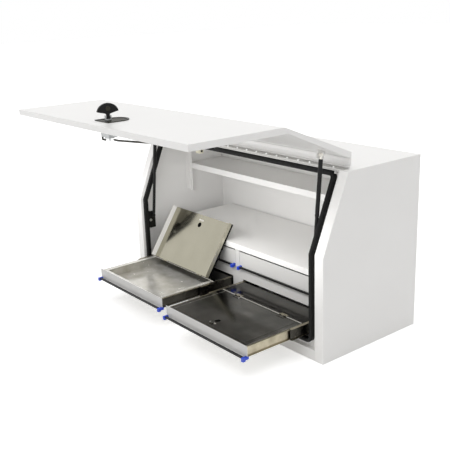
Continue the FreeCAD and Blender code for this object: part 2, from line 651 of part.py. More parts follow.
def flap_hinges():
    """The fixed halves of the flap hinges, each with its pin."""
    half, core = FLAP_HINGE_LENGTH / 2, FLAP_HINGE_LENGTH / 6
    reach = FLAP_KNUCKLE_RADIUS + CLEARANCE
    leaf_z = (COVER_TOP, FLAP_AXIS_Z - FLAP_KNUCKLE_RADIUS / 2)
    hinges = []
    for x in flap_hinge_places():
        hinges.append(fused(
            block((x - half, x + half), (FLAP_AXIS_Y + reach, FLAP_AXIS_Y + FLAP_LEAF), leaf_z),
            block((x - core, x + core), (FLAP_AXIS_Y + TRAY_SHEET, FLAP_AXIS_Y + FLAP_LEAF), leaf_z),
            x_bar((x - core, x + core), FLAP_AXIS_Y, FLAP_AXIS_Z, FLAP_KNUCKLE_RADIUS),
            x_bar((x - half, x + half), FLAP_AXIS_Y, FLAP_AXIS_Z, FLAP_PIN_RADIUS)))
    return hinges


def rear_cover():
    """The fixed cover over the back of a lower tray."""
    return block((TRAY_INNER, TRAY_OUTER), (FLAP_AXIS_Y + TRAY_SHEET, TRAY_REAR),
                 (LOWER_TRAY[1], COVER_TOP))


def raised(solids):
    """A flap turned up on its hinge until it leans on the deck."""
    return [solid.rotated(Vector(0, FLAP_AXIS_Y, FLAP_AXIS_Z), X_AXIS, -flap_open_angle())
            for solid in solids]


def place(solids, left, pull):
    """Drawer pieces on their own side of the partition, pulled out by a distance."""
    moved = [solid.translated(Vector(0, -pull, 0)) for solid in solids]
    return [mirrored(solid) for solid in moved] if left else moved


def make_drawers():
    """The four drawers with their slides: lower ones pulled out, upper ones shut."""
    outer_members = []
    for side in ("left", "right"):
        left = side == "left"
        pull = DRAWER_TRAVEL - LEFT_DRAWER_SHORT if left else DRAWER_TRAVEL
        outer, middle, inner = slide_members(LOWER_TRAY)
        outer_members += place(outer, left, 0)
        tray = fused(drawer_tray(LOWER_TRAY), tray_rim())
        name = f"lower_{side}"
        save(f"{name}_tray", place([tray], left, pull))
        save(f"{name}_face", place([drawer_face(LOWER_FACE, LOWER_WINDOW_INNER)], left, pull))
        save(f"{name}_rear_cover", place([rear_cover()], left, pull))
        save(f"{name}_slide_inner", place(inner, left, pull))
        save(f"{name}_slide_middle", place(middle, left, pull / 2))
        save(f"{name}_release_bar", place(release_bar(LOWER_FACE[0], LOWER_WINDOW_INNER), left, pull))
        save(f"{name}_flap", place(raised(make_flap()) if left else make_flap(), left, pull))
        save(f"{name}_flap_hinges", place(flap_hinges(), left, pull))

        outer, middle, inner = slide_members(UPPER_TRAY)
        outer_members += place(outer, left, 0)
        name = f"upper_{side}"
        save(f"{name}_drawer",
             place([fused(drawer_tray(UPPER_TRAY), drawer_face(UPPER_FACE, UPPER_WINDOW_INNER))], left, 0))
        save(f"{name}_slide_inner", place(inner, left, 0))
        save(f"{name}_slide_middle", place(middle, left, 0))
        save(f"{name}_release_bar", place(release_bar(UPPER_FACE[0], UPPER_WINDOW_INNER), left, 0))
    save("slide_outer_members", outer_members)


def lid_path():
    """The outside of the shut lid in section, from its free edge up to the hinge."""
    top = CASE_HEIGHT + LID_TOP_RISE
    corner = TOP_EDGE[0] + LID_TOP_RISE * math.tan(SLANT) - LID_PROUD / math.cos(SLANT)
    ridge = KNEE_HEIGHT - LID_RIDGE_BELOW_KNEE
    return [(LID_FACE, LID_EDGE_HEIGHT), (LID_FACE, ridge), (corner, top),
            (HINGE[0] - KNUCKLE_RADIUS - CLEARANCE, top)]


def spindle_bore(radius):
    """The hole for the lock spindle, right through the lid."""
    return y_bar((LID_FACE - DISH_THICKNESS, LOCK_BODY_END), LOCK_X, LOCK_Z, radius)


def make_lid():
    """The outer skin with its skirt, and the inner skin that meets the seal."""
    path = lid_path()
    across = (-LID_HALF, LID_HALF)
    bore = spindle_bore(SPINDLE_RADIUS + RUNNING_FIT)
    skin = prism(strip(path, 0, SHEET), across)
    edge = block(across, (LID_FACE, LINER_FACE), (LID_EDGE_HEIGHT, LID_EDGE_HEIGHT + SHEET))
    rise = CASE_HEIGHT + LEAF_THICKNESS
    inner_top = TOP_EDGE[0] + LEAF_THICKNESS * math.tan(SLANT) - LID_GAP / math.cos(SLANT)
    inside = offset_path(front_path(LID_EDGE_HEIGHT, 0), -LID_GAP)[:2]
    outline = path + [(path[-1][0], rise), (inner_top, rise)] + inside[::-1]
    skirt = prism(outline, (LID_HALF - SHEET, LID_HALF))
    save("lid_outer_skin", [opened(fused(skin, edge, *pair(skirt)).cut(bore))])
    liner_path = front_path(LID_EDGE_HEIGHT + SHEET, HEADER_FLANGE)
    liner = prism(strip(liner_path, -LID_GAP - SHEET, -LID_GAP), (-LID_HALF + SHEET, LID_HALF - SHEET))
    save("lid_inner_skin", [opened(liner.cut(bore))])


def dish_outline(inset, y):
    """The face of the lock dish: square at the free edge of the lid, round at the other end."""
    radius = DISH_WIDTH / 2 - inset
    low = LID_EDGE_HEIGHT + DISH_FROM_EDGE + inset
    middle = LID_EDGE_HEIGHT + DISH_FROM_EDGE + DISH_LENGTH - DISH_WIDTH / 2
    right, left = LOCK_X + radius, LOCK_X - radius
    corners = [Vector(left, y, middle), Vector(left, y, low), Vector(right, y, low), Vector(right, y, middle)]
    edges = [Part.makeLine(a, b) for a, b in zip(corners, corners[1:])]
    edges.append(Part.Arc(corners[3], Vector(LOCK_X, y, middle + radius), corners[0]).toShape())
    return Part.Face(Part.Wire(edges))


def turned(shape):
    """A piece of the lock, turned with the spindle as it stands when unlocked."""
    return shape.rotated(Vector(LOCK_X, 0, LOCK_Z), Vector(0, -1, 0), HANDLE_TURN)


def handle_axis():
    """The place of the handle's folding pin along Y, just above the spindle's boss."""
    return LID_FACE - DISH_THICKNESS - SPINDLE_BOSS_HEIGHT - HANDLE_THICKNESS / 2 - CLEARANCE


def make_handle():
    """The fan-headed folding handle, standing up, with its key barrel."""
    foot = handle_axis() + HANDLE_THICKNESS / 2
    neck, tip = foot - HANDLE_STEM, foot - HANDLE_STEM - HANDLE_HEAD
    stem, wide = HANDLE_STEM_WIDTH / 2, HANDLE_WIDTH / 2
    z = LOCK_Z - HANDLE_THICKNESS / 2

    def point(across, y):
        return Vector(LOCK_X + across, y, z)

    corners = [point(wide, neck), point(stem, neck), point(stem, foot), point(-stem, foot),
               point(-stem, neck), point(-wide, neck)]
    edges = [Part.makeLine(a, b) for a, b in zip(corners, corners[1:])]
    edges.append(Part.Arc(corners[-1], point(0, tip), corners[0]).toShape())
    body = Part.Face(Part.Wire(edges)).extrude(Vector(0, 0, HANDLE_THICKNESS))
    pin_hole = x_bar((LOCK_X - stem, LOCK_X + stem), handle_axis(), LOCK_Z, HANDLE_PIN_RADIUS + RUNNING_FIT)
    barrel_y = neck - HANDLE_HEAD / 2
    barrel = bar((LOCK_X, barrel_y, z - BARREL_RISE), (LOCK_X, barrel_y, z), BARREL_RADIUS)
    rounded = Part.makeCylinder(HANDLE_THICKNESS / 2, 2 * stem,
                                Vector(LOCK_X - stem, handle_axis(), LOCK_Z), X_AXIS)
    heel = block((LOCK_X - stem, LOCK_X + stem), (handle_axis(), foot),
                 (z, z + HANDLE_THICKNESS))
    body = fused(body.cut(heel), rounded).cut(pin_hole)
    return [opened(turned(body)), opened(turned(barrel))]


def make_spindle():
    """The lock spindle: ears that hold the handle's pin, a shaft through the lid and the cam."""
    boss = (LID_FACE - DISH_THICKNESS - SPINDLE_BOSS_HEIGHT, LID_FACE - DISH_THICKNESS)
    shaft = y_bar((boss[0], CAM_FACE), LOCK_X, LOCK_Z, SPINDLE_RADIUS)
    head = y_bar(boss, LOCK_X, LOCK_Z, SPINDLE_BOSS_RADIUS)
    cam = y_bar((LOCK_BODY_END + CLEARANCE, CAM_FACE), LOCK_X, LOCK_Z, CAM_RADIUS)
    tail = y_bar((CAM_FACE, CAM_FACE + SPINDLE_TAIL), LOCK_X, LOCK_Z, HANDLE_PIN_RADIUS)
    stem = HANDLE_STEM_WIDTH / 2
    ear_x = (LOCK_X + stem + CLEARANCE, LOCK_X + SPINDLE_BOSS_RADIUS)
    ear = block(ear_x, (handle_axis() - HANDLE_THICKNESS / 2, boss[1]),
                (LOCK_Z - HANDLE_THICKNESS / 2, LOCK_Z + HANDLE_THICKNESS / 2))
    pin = x_bar((LOCK_X - ear_x[1] + LOCK_X, ear_x[1]), handle_axis(), LOCK_Z, HANDLE_PIN_RADIUS)
    return opened(turned(fused(shaft, head, cam, tail, ear, mirrored(ear, LOCK_X), pin)))


def lock_rod(side, bends):
    """A lock rod, bent from its place at the cam to the line of its guides near the lid."""
    at_cam = (ROD_Y, LOCK_Z + side * ROD_OFFSET)
    in_guides = (ROD_GUIDE_Y, ROD_GUIDE_Z)
    points = [(LOCK_X + side * ROD_INNER_END, *at_cam), (side * bends[0], *at_cam),
              (side * bends[1], *in_guides), (side * ROD_END, *in_guides)]
    runs = [bar(start, end, ROD_RADIUS) for start, end in zip(points, points[1:])]
    elbows = [Part.makeSphere(ROD_RADIUS, Vector(*point)) for point in points[1:3]]
    return fused(*runs, *elbows)


def make_lock():
    """Dish, lock body, spindle, handle, rods and rod guides."""
    dish = dish_outline(0, LID_FACE - DISH_THICKNESS).extrude(Vector(0, DISH_THICKNESS, 0))
    recess = dish_outline(DISH_RIM, LID_FACE - DISH_THICKNESS).extrude(Vector(0, DISH_RECESS, 0))
    seat = y_bar((LID_FACE - DISH_THICKNESS, LID_FACE), LOCK_X, LOCK_Z, SPINDLE_BOSS_RADIUS + CLEARANCE)
    bore = spindle_bore(SPINDLE_RADIUS + RUNNING_FIT)
    save("lock_dish", [opened(dish.cut(recess.cut(seat)).cut(bore))])
    half_length, half_width = LOCK_BODY_LENGTH / 2, LOCK_BODY_WIDTH / 2
    body = block((LOCK_X - half_length, LOCK_X + half_length), (LINER_FACE, LOCK_BODY_END),
                 (LOCK_Z - half_width, LOCK_Z + half_width))
    save("lock_body", [opened(body.cut(bore))])
    save("lock_spindle", [make_spindle()])
    save("lock_handle", make_handle())
    guides = []
    guide_z = (ROD_GUIDE_Z - GUIDE_WIDTH / 2, ROD_GUIDE_Z + GUIDE_WIDTH / 2)
    last = ROD_END - GUIDE_FROM_ROD_END
    for side, name, bends in ((1, "right", RIGHT_ROD_BENDS), (-1, "left", LEFT_ROD_BENDS)):
        save(f"{name}_lock_rod", [opened(lock_rod(side, bends))])
        for station in (last - GUIDE_SPACING, last):
            x_range = (side * station - GUIDE_LENGTH / 2, side * station + GUIDE_LENGTH / 2)
            guide = block(x_range, (LINER_FACE, ROD_GUIDE_Y + ROD_RADIUS + GUIDE_WALL), guide_z)
            bore = x_bar(x_range, ROD_GUIDE_Y, ROD_GUIDE_Z, ROD_RADIUS + RUNNING_FIT)
            guides.append(opened(guide.cut(bore)))
    save("lock_rod_guides", guides)


def strut_frame(shape):
    """A strut piece drawn upright over the origin, leaned over and set on its lower pivot."""
    upper = strut_upper()
    lean = math.degrees(math.atan2(upper[0] - STRUT_LOWER[0], upper[1] - STRUT_LOWER[1]))
    return shape.rotated(Vector(0, 0, 0), X_AXIS, -lean).translated(Vector(STRUT_X, *STRUT_LOWER))


def make_struts():
    """The two gas struts, rod down, with their brackets on the case and on the lid."""
    upper = strut_upper()
    length = math.hypot(upper[0] - STRUT_LOWER[0], upper[1] - STRUT_LOWER[1])
    half = STRUT_EYE_WIDTH / 2
    tube_top = length - STRUT_NECK
    tube_low = tube_top - STRUT_TUBE_LENGTH
    eye_bore = x_bar((-half, half), 0, 0, STUD_RADIUS + RUNNING_FIT)
    rod = fused(x_bar((-half, half), 0, 0, STRUT_EYE_RADIUS),
                bar((0, 0, 0), (0, 0, tube_low + STRUT_ROD_OVERLAP), STRUT_ROD_RADIUS)).cut(eye_bore)
    bore = bar((0, 0, tube_low), (0, 0, tube_top - STRUT_END_WALL), STRUT_ROD_RADIUS + RUNNING_FIT)
    tube = fused(bar((0, 0, tube_low), (0, 0, tube_top), STRUT_TUBE_RADIUS),
                 bar((0, 0, tube_top), (0, 0, length), STRUT_NECK_RADIUS),
                 x_bar((-half, half), 0, length, STRUT_EYE_RADIUS),
                 x_bar((CLEARANCE - BRACKET_OFFSET, -half), 0, length, STUD_RADIUS)).cut(bore)
    rod, tube = strut_frame(rod), strut_frame(tube)
    for side, left in (("right", False), ("left", True)):
        save(f"{side}_strut_rod", [mirrored(rod) if left else rod])
        save(f"{side}_strut_tube", [mirrored(tube) if left else tube])

    plate_x = (STRUT_X + BRACKET_OFFSET, STRUT_X + BRACKET_OFFSET + BRACKET_SHEET)
    seat = FRONT + FRAME_DEPTH
    y, z = STRUT_LOWER
    z_range = (z + LOWER_BRACKET_ABOVE - LOWER_BRACKET_HEIGHT, z + LOWER_BRACKET_ABOVE)
    foot = (plate_x[0], plate_x[0] + LOWER_BRACKET_FOOT)
    bracket = fused(block(plate_x, (seat, y + BRACKET_MARGIN), z_range),
                    block(foot, (seat, seat + BRACKET_SHEET), z_range),
                    x_bar((STRUT_X - half, plate_x[0]), y, z, STUD_RADIUS))
    save("strut_lower_brackets", pair(bracket))
    lug_x = (STRUT_X - BRACKET_OFFSET - BRACKET_SHEET, STRUT_X - BRACKET_OFFSET)
    lug = prism(slant_patch((STRUT_DOWN_SLANT - LUG_ABOVE, STRUT_DOWN_SLANT + BRACKET_MARGIN),
                            (-LID_GAP, STRUT_BEHIND_SLANT + BRACKET_MARGIN)), lug_x)
    save("strut_upper_brackets", [opened(solid) for solid in pair(lug)])


def main():
    """Build every piece and write it to its own file."""
    os.makedirs("parts", exist_ok=True)
    make_case()
    make_hinge()
    make_rivets()
    make_shelf()
    make_cabinet()
    make_drawers()
    make_lid()
    make_lock()
    make_struts()


main()
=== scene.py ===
"""Looks of an aluminium toolbox with drawers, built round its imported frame.

Every sheet piece is a copy of its solid with the folded edges rounded and a
procedural finish. The seal, the struts, the rivets and the lock handle are
modelled here in finer form. Lengths are metres, in the frame's own axes.
"""

import json
import logging
import math
from dataclasses import dataclass, field
from enum import Enum, IntEnum
from typing import Any, Callable, Sequence

import bmesh
import bpy
from mathutils import Matrix, Vector

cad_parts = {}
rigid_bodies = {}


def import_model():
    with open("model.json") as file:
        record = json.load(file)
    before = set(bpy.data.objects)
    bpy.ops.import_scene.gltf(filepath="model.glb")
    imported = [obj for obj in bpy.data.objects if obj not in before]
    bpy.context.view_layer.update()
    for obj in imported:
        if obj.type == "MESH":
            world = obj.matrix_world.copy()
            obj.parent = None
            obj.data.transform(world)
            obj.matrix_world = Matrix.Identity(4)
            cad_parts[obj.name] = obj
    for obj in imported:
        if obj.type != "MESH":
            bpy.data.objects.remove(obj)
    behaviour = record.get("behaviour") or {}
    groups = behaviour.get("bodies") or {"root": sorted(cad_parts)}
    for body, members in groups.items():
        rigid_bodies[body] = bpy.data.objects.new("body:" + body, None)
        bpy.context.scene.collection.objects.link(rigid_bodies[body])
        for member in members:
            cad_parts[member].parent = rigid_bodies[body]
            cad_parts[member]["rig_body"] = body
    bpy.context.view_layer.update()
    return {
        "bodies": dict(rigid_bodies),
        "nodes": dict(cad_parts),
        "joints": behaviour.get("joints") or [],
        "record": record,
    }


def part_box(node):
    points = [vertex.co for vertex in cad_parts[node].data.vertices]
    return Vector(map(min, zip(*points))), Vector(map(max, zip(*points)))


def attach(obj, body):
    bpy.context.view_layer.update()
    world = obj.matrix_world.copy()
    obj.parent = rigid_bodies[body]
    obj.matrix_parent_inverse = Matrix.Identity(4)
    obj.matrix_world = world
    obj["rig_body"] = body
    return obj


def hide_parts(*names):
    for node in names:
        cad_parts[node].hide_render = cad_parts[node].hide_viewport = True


LOG = logging.getLogger("toolbox")
MM = 0.001
# How much of a direction lies along an axis that it follows, and along one that it is square to.
ALIGNED = 0.9
SQUARE = 0.1
# How near a point is to a flat that it lies on.
TOUCH = 0.3 * MM
# Points nearer than this are one point.
SAME_POINT = 2e-6
# Least turn between two flats, at a fold that is rounded, and at an edge that shades as sharp.
FLAT_ANGLE = math.radians(0.4)
FOLD_ANGLE = math.radians(15)
SHARP_ANGLE = math.radians(40)
# How far large faces rule the shading of the rounded edges beside them; 50 is neutral.
FACE_WEIGHT = 100
# The middle value of a noise pattern.
NOISE_MIDDLE = 0.5
# Octaves of the patches and of the fine relief of a finish.
PATCH_DETAIL = 4.0
RELIEF_DETAIL = 3.0
COAT_ROUGHNESS = 0.08
Chooser = Callable[[Vector, Vector], bool]
Sorter = Callable[[bmesh.types.BMFace], int]
Point = tuple[float, float]
Triple = tuple[float, float, float]


def linear(colour: str) -> tuple[float, float, float, float]:
    """Turn an sRGB hex colour into the linear values that the shaders take.

    Args:
        colour: A hex colour such as "#F0F0EE".

    Returns:
        Linear red, green and blue, with an alpha of 1.
    """
    values = [int(colour[i:i + 2], 16) / 255 for i in (1, 3, 5)]
    bent = [v / 12.92 if v <= 0.04045 else ((v + 0.055) / 1.055) ** 2.4 for v in values]
    return (*bent, 1.0)


def add_node(tree: bpy.types.NodeTree, kind: str, settings: dict[str, Any] | None = None,
             inputs: dict[str | int, Any] | None = None) -> bpy.types.Node:
    """Add a shader node, set it up and link it.

    Args:
        tree: The node tree that takes the node.
        kind: The node's type name.
        settings: Attributes of the node itself.
        inputs: Values for its input sockets, or output sockets to link to them.

    Returns:
        The new node.
    """
    node = tree.nodes.new(kind)
    for key, value in (settings or {}).items():
        setattr(node, key, value)
    for socket, value in (inputs or {}).items():
        if isinstance(value, bpy.types.NodeSocket):
            tree.links.new(value, node.inputs[socket])
        else:
            node.inputs[socket].default_value = value
    return node


class Grain(Enum):
    """The way a surface was made, which sets how its pattern lies."""

    EVEN = (1.0, 1.0, 1.0)
    ROLLED_ALONG_Y = (1.0, 0.05, 1.0)


class Side(Enum):
    """An end of the box, as the nodes name it."""

    LEFT = "left"
    RIGHT = "right"

    @property
    def inward(self) -> Vector:
        """The direction from this end to the middle of the box."""
        return Vector((1 if self is Side.LEFT else -1, 0, 0))


class Bay(Enum):
    """A drawer's place in the cabinet, as the nodes name it."""

    LOWER_LEFT = "lower_left"
    LOWER_RIGHT = "lower_right"
    UPPER_LEFT = "upper_left"
    UPPER_RIGHT = "upper_right"


class FlapFace(IntEnum):
    """The surfaces of a flap, in the order of their finishes."""

    LOWER = 0
    UPPER = 1
    INNER_LIP = 2
    EDGING = 3
    CATCH = 4
    OUTER_LIP = 5


@dataclass(frozen=True)
class Finish:
    """A surface finish, with its pattern sizes in real millimetres.

    Args:
        name: The real material and how its surface was made.
        colour: Main sRGB hex colour.
        tone: Second colour, which drifts over the first in soft patches.
        roughness: Roughness in the main colour and in the second.
        metallic: 1 for bare metal, less under an oxide film.
        coat: Weight of a clear glossy top layer.
        gleam: Level of the surface reflection of a non-metal.
        patch_mm: Size of the soft patches of tone and gloss.
        contrast: How sharply the patches part from each other.
        grain_mm: Spacing of the fine relief.
        relief_mm: Height of the fine relief.
        grain: How the fine relief lies.
    """

    name: str
    colour: str
    tone: str
    roughness: tuple[float, float]
    metallic: float = 0.0
    coat: float = 0.0
    gleam: float = 0.5
    patch_mm: float = 120.0
    contrast: float = 1.0
    grain_mm: float = 3.0
    relief_mm: float = 0.02
    grain: Grain = Grain.EVEN

    def material(self) -> bpy.types.Material:
        """Build the material once, and hand back the same one after that.

        Returns:
            The Blender material of this finish.
        """
        made = bpy.data.materials.get(self.name)
        if made is not None:
            return made
        made = bpy.data.materials.new(self.name)
        made.use_nodes = True
        tree = made.node_tree
        tree.nodes.clear()
        place = add_node(tree, "ShaderNodeTexCoord").outputs["Object"]
        drift = add_node(tree, "ShaderNodeTexNoise", inputs={
            "Vector": place, "Scale": 1 / (self.patch_mm * MM), "Detail": PATCH_DETAIL})
        reach = NOISE_MIDDLE / self.contrast
        patch = add_node(tree, "ShaderNodeMapRange", inputs={
            "Value": drift.outputs["Fac"], "From Min": NOISE_MIDDLE - reach,
            "From Max": NOISE_MIDDLE + reach})
        tint = add_node(tree, "ShaderNodeMix", {"data_type": "RGBA"}, {
            "Factor": patch.outputs["Result"], "A": linear(self.colour), "B": linear(self.tone)})
        gloss = add_node(tree, "ShaderNodeMapRange", inputs={
            "Value": patch.outputs["Result"], "To Min": self.roughness[0], "To Max": self.roughness[1]})
        lay = add_node(tree, "ShaderNodeMapping", inputs={"Vector": place, "Scale": self.grain.value})
        relief = add_node(tree, "ShaderNodeTexNoise", inputs={
            "Vector": lay.outputs["Vector"], "Scale": 1 / (self.grain_mm * MM),
            "Detail": RELIEF_DETAIL})
        bump = add_node(tree, "ShaderNodeBump", inputs={
            "Height": relief.outputs["Fac"], "Distance": self.relief_mm * MM, "Strength": 1.0})
        shader = add_node(tree, "ShaderNodeBsdfPrincipled", inputs={
            "Base Color": tint.outputs["Result"], "Roughness": gloss.outputs["Result"],
            "Metallic": self.metallic, "Coat Weight": self.coat, "Coat Roughness": COAT_ROUGHNESS,
            "Specular IOR Level": self.gleam, "Normal": bump.outputs["Normal"]})
        add_node(tree, "ShaderNodeOutputMaterial", inputs={"Surface": shader.outputs["BSDF"]})
        return made


# Sprayed polyester powder, baked on: an even white gloss with the faint waviness of orange peel.
POWDER_COAT = Finish("white polyester powder coat", "#F1F0EE", "#EDECEA", (0.32, 0.38), coat=0.08,
                     patch_mm=260.0, grain_mm=5.0, relief_mm=0.004)
# The same powder on the drawer fronts and their frame: less glossy, and greyer in part as painted shade
# under the open lid.
FACE_COAT = Finish("pale grey powder coat", "#D0CFCD", "#CBCAC7", (0.36, 0.42), coat=0.05,
                   patch_mm=150.0, grain_mm=4.0, relief_mm=0.005)
# Bright rolled aluminium sheet of the trays: pale silver under an oxide film, softly mottled by hand
# marks, with glints from shallow dents.
BRIGHT_SHEET = Finish("bright rolled aluminium", "#F4F3EE", "#BDB9AE", (0.32, 0.14), metallic=0.6,
                      gleam=1.0, patch_mm=60.0, contrast=1.6, grain_mm=45.0, relief_mm=0.9)
# The lower side of the flaps: the same sheet with its mill gloss, a warm and nearly even mirror.
MILL_SHEET = Finish("mill finish aluminium", "#B8B4A3", "#A8A493", (0.1, 0.2), metallic=1.0,
                    patch_mm=120.0, grain_mm=90.0, relief_mm=0.12)
# Beads, catch plates and strut ends, brushed: white and soft. On the catch plates the white also stands
# in for a highlight on the finger hole's rim.
BRUSHED_EDGE = Finish("brushed aluminium", "#F2F0EA", "#E6E3DA", (0.5, 0.6), metallic=1.0,
                      patch_mm=30.0, grain_mm=4.0, relief_mm=0.01)
# The upper side of the flaps, the covers and the right tray's walls: the same sheet, painted dark as a
# painted reflection of the shaded inside of the case.
PAINTED_REFLECTION_SHEET = Finish("dark polished aluminium", "#56544E", "#34332F", (0.08, 0.2), metallic=1.0,
                    patch_mm=90.0, contrast=1.8, grain_mm=60.0, relief_mm=0.25)
# The outer side of the flaps' lips and of the left tray: the same sheet, dulled by rubbing.
SATIN_SHEET = Finish("satin aluminium", "#D6D2C1", "#C4C0AE", (0.42, 0.52), metallic=1.0,
                     patch_mm=60.0, grain_mm=12.0, relief_mm=0.02)
# Matt black with no reflection: painted shade in the flaps' finger holes and along the outer lips
# beside their upper side.
BLACK_FOR_SHADE = Finish("moulded black rubber", "#070707", "#0A0A0A", (0.8, 0.9), gleam=0.0,
                    patch_mm=20.0, grain_mm=2.0, relief_mm=0.01)
# Rivet heads painted pure white and glossy: painted glints in a row.
RIVET_PAINTED_GLINT = Finish("white lacquered rivet", "#FFFFFF", "#FCFCFB", (0.2, 0.3), coat=0.5, gleam=0.8,
                       patch_mm=8.0, grain_mm=1.0, relief_mm=0.004)
# Extruded EPDM: dull black with a dry bloom.
SEAL_RUBBER = Finish("extruded EPDM rubber", "#101010", "#191918", (0.5, 0.66), gleam=0.2,
                     patch_mm=60.0, grain_mm=2.5, relief_mm=0.03)
# Zinc plate with a yellow passivate: warm grey metal in faint clouds.
ZINC_PLATE = Finish("zinc plated steel", "#B8B09B", "#8C8572", (0.26, 0.4), metallic=1.0, patch_mm=40.0,
                    contrast=1.6, grain_mm=8.0, relief_mm=0.02, grain=Grain.ROLLED_ALONG_Y)
# Oiled running steel of the slides: dark and smooth. On the lower left drawer's inner slide it is
# painted shade.
DARK_STEEL = Finish("oiled rolled steel", "#55534D", "#403E39", (0.2, 0.34), metallic=1.0,
                    patch_mm=50.0, grain_mm=8.0, relief_mm=0.02, grain=Grain.ROLLED_ALONG_Y)
# Stoved enamel on steel: deep satin black.
BLACK_ENAMEL = Finish("satin black enamel", "#0C0C0C", "#131312", (0.3, 0.4), gleam=0.22,
                      patch_mm=50.0, grain_mm=3.0, relief_mm=0.01)
# The hinge strip and the margin it lies on: the white coat painted plainly greyer than the lid, as
# painted shade under the open lid.
HINGE_STRIP_SHADE = Finish("thin white powder coat", "#BDBCB9", "#B8B7B3", (0.4, 0.48),
                     patch_mm=60.0, grain_mm=4.0, relief_mm=0.005)
# Zinc with an olive passivate, as on lock parts: drab and nearly matt.
OLIVE_ZINC = Finish("olive passivated zinc", "#403E34", "#323028", (0.4, 0.5), gleam=0.15,
                    patch_mm=25.0, grain_mm=6.0, relief_mm=0.02)
# Pressure die-cast zinc: light grey metal with a soft grain.
CAST_ZINC = Finish("die-cast zinc", "#B9BBBB", "#A4A6A6", (0.3, 0.42), metallic=1.0,
                   patch_mm=20.0, grain_mm=2.0, relief_mm=0.04)
# Natural moulded nylon: cream and waxy.
NYLON = Finish("moulded natural nylon", "#E6E2CC", "#DCD7BE", (0.35, 0.48),
               patch_mm=20.0, grain_mm=1.5, relief_mm=0.02)
# Moulded acetal, coloured through: bright blue with a fine spark texture.
BLUE_ACETAL = Finish("moulded blue acetal", "#1E48D2", "#1840C0", (0.28, 0.38), coat=0.1,
                     patch_mm=20.0, grain_mm=1.5, relief_mm=0.03)
FLAP_FINISHES = {
    FlapFace.LOWER: MILL_SHEET,
    FlapFace.UPPER: PAINTED_REFLECTION_SHEET,
    # The white inside the lips is a painted reflection; the black strip and the black cup are painted
    # shade.
    FlapFace.INNER_LIP: POWDER_COAT,
    FlapFace.EDGING: BLACK_FOR_SHADE,
    FlapFace.CATCH: BRUSHED_EDGE,
    FlapFace.OUTER_LIP: SATIN_SHEET,
}


def every_edge(_middle: Vector, _along: Vector) -> bool:
    """Choose every folded edge."""
    return True


def along_box(_middle: Vector, along: Vector) -> bool:
    """Choose the edges that run along the box."""
    return abs(along.x) > ALIGNED


def level(face: bmesh.types.BMFace) -> int:
    """Pick out level faces, such as the lips of a slide, which take a lighter finish as a painted
    highlight.
    """
    return int(abs(face.normal.z) > ALIGNED)


def paint(mesh: bmesh.types.BMesh, sort: Sorter) -> None:
    """Give each face the index of its finish."""
    for face in mesh.faces:
        face.material_index = sort(face)


def axes(across: Vector, up: Vector, depth: Vector, origin: Vector) -> Matrix:
    """Set up a piece's own axes.

    Args:
        across: The direction of its first axis.
        up: The direction of its second.
        depth: The direction of its third.
        origin: Where they meet.

    Returns:
        The matrix that takes across, up and depth to the frame's axes.
    """
    matrix = Matrix((across, up, depth)).transposed().to_4x4()
    matrix.translation = origin
    return matrix


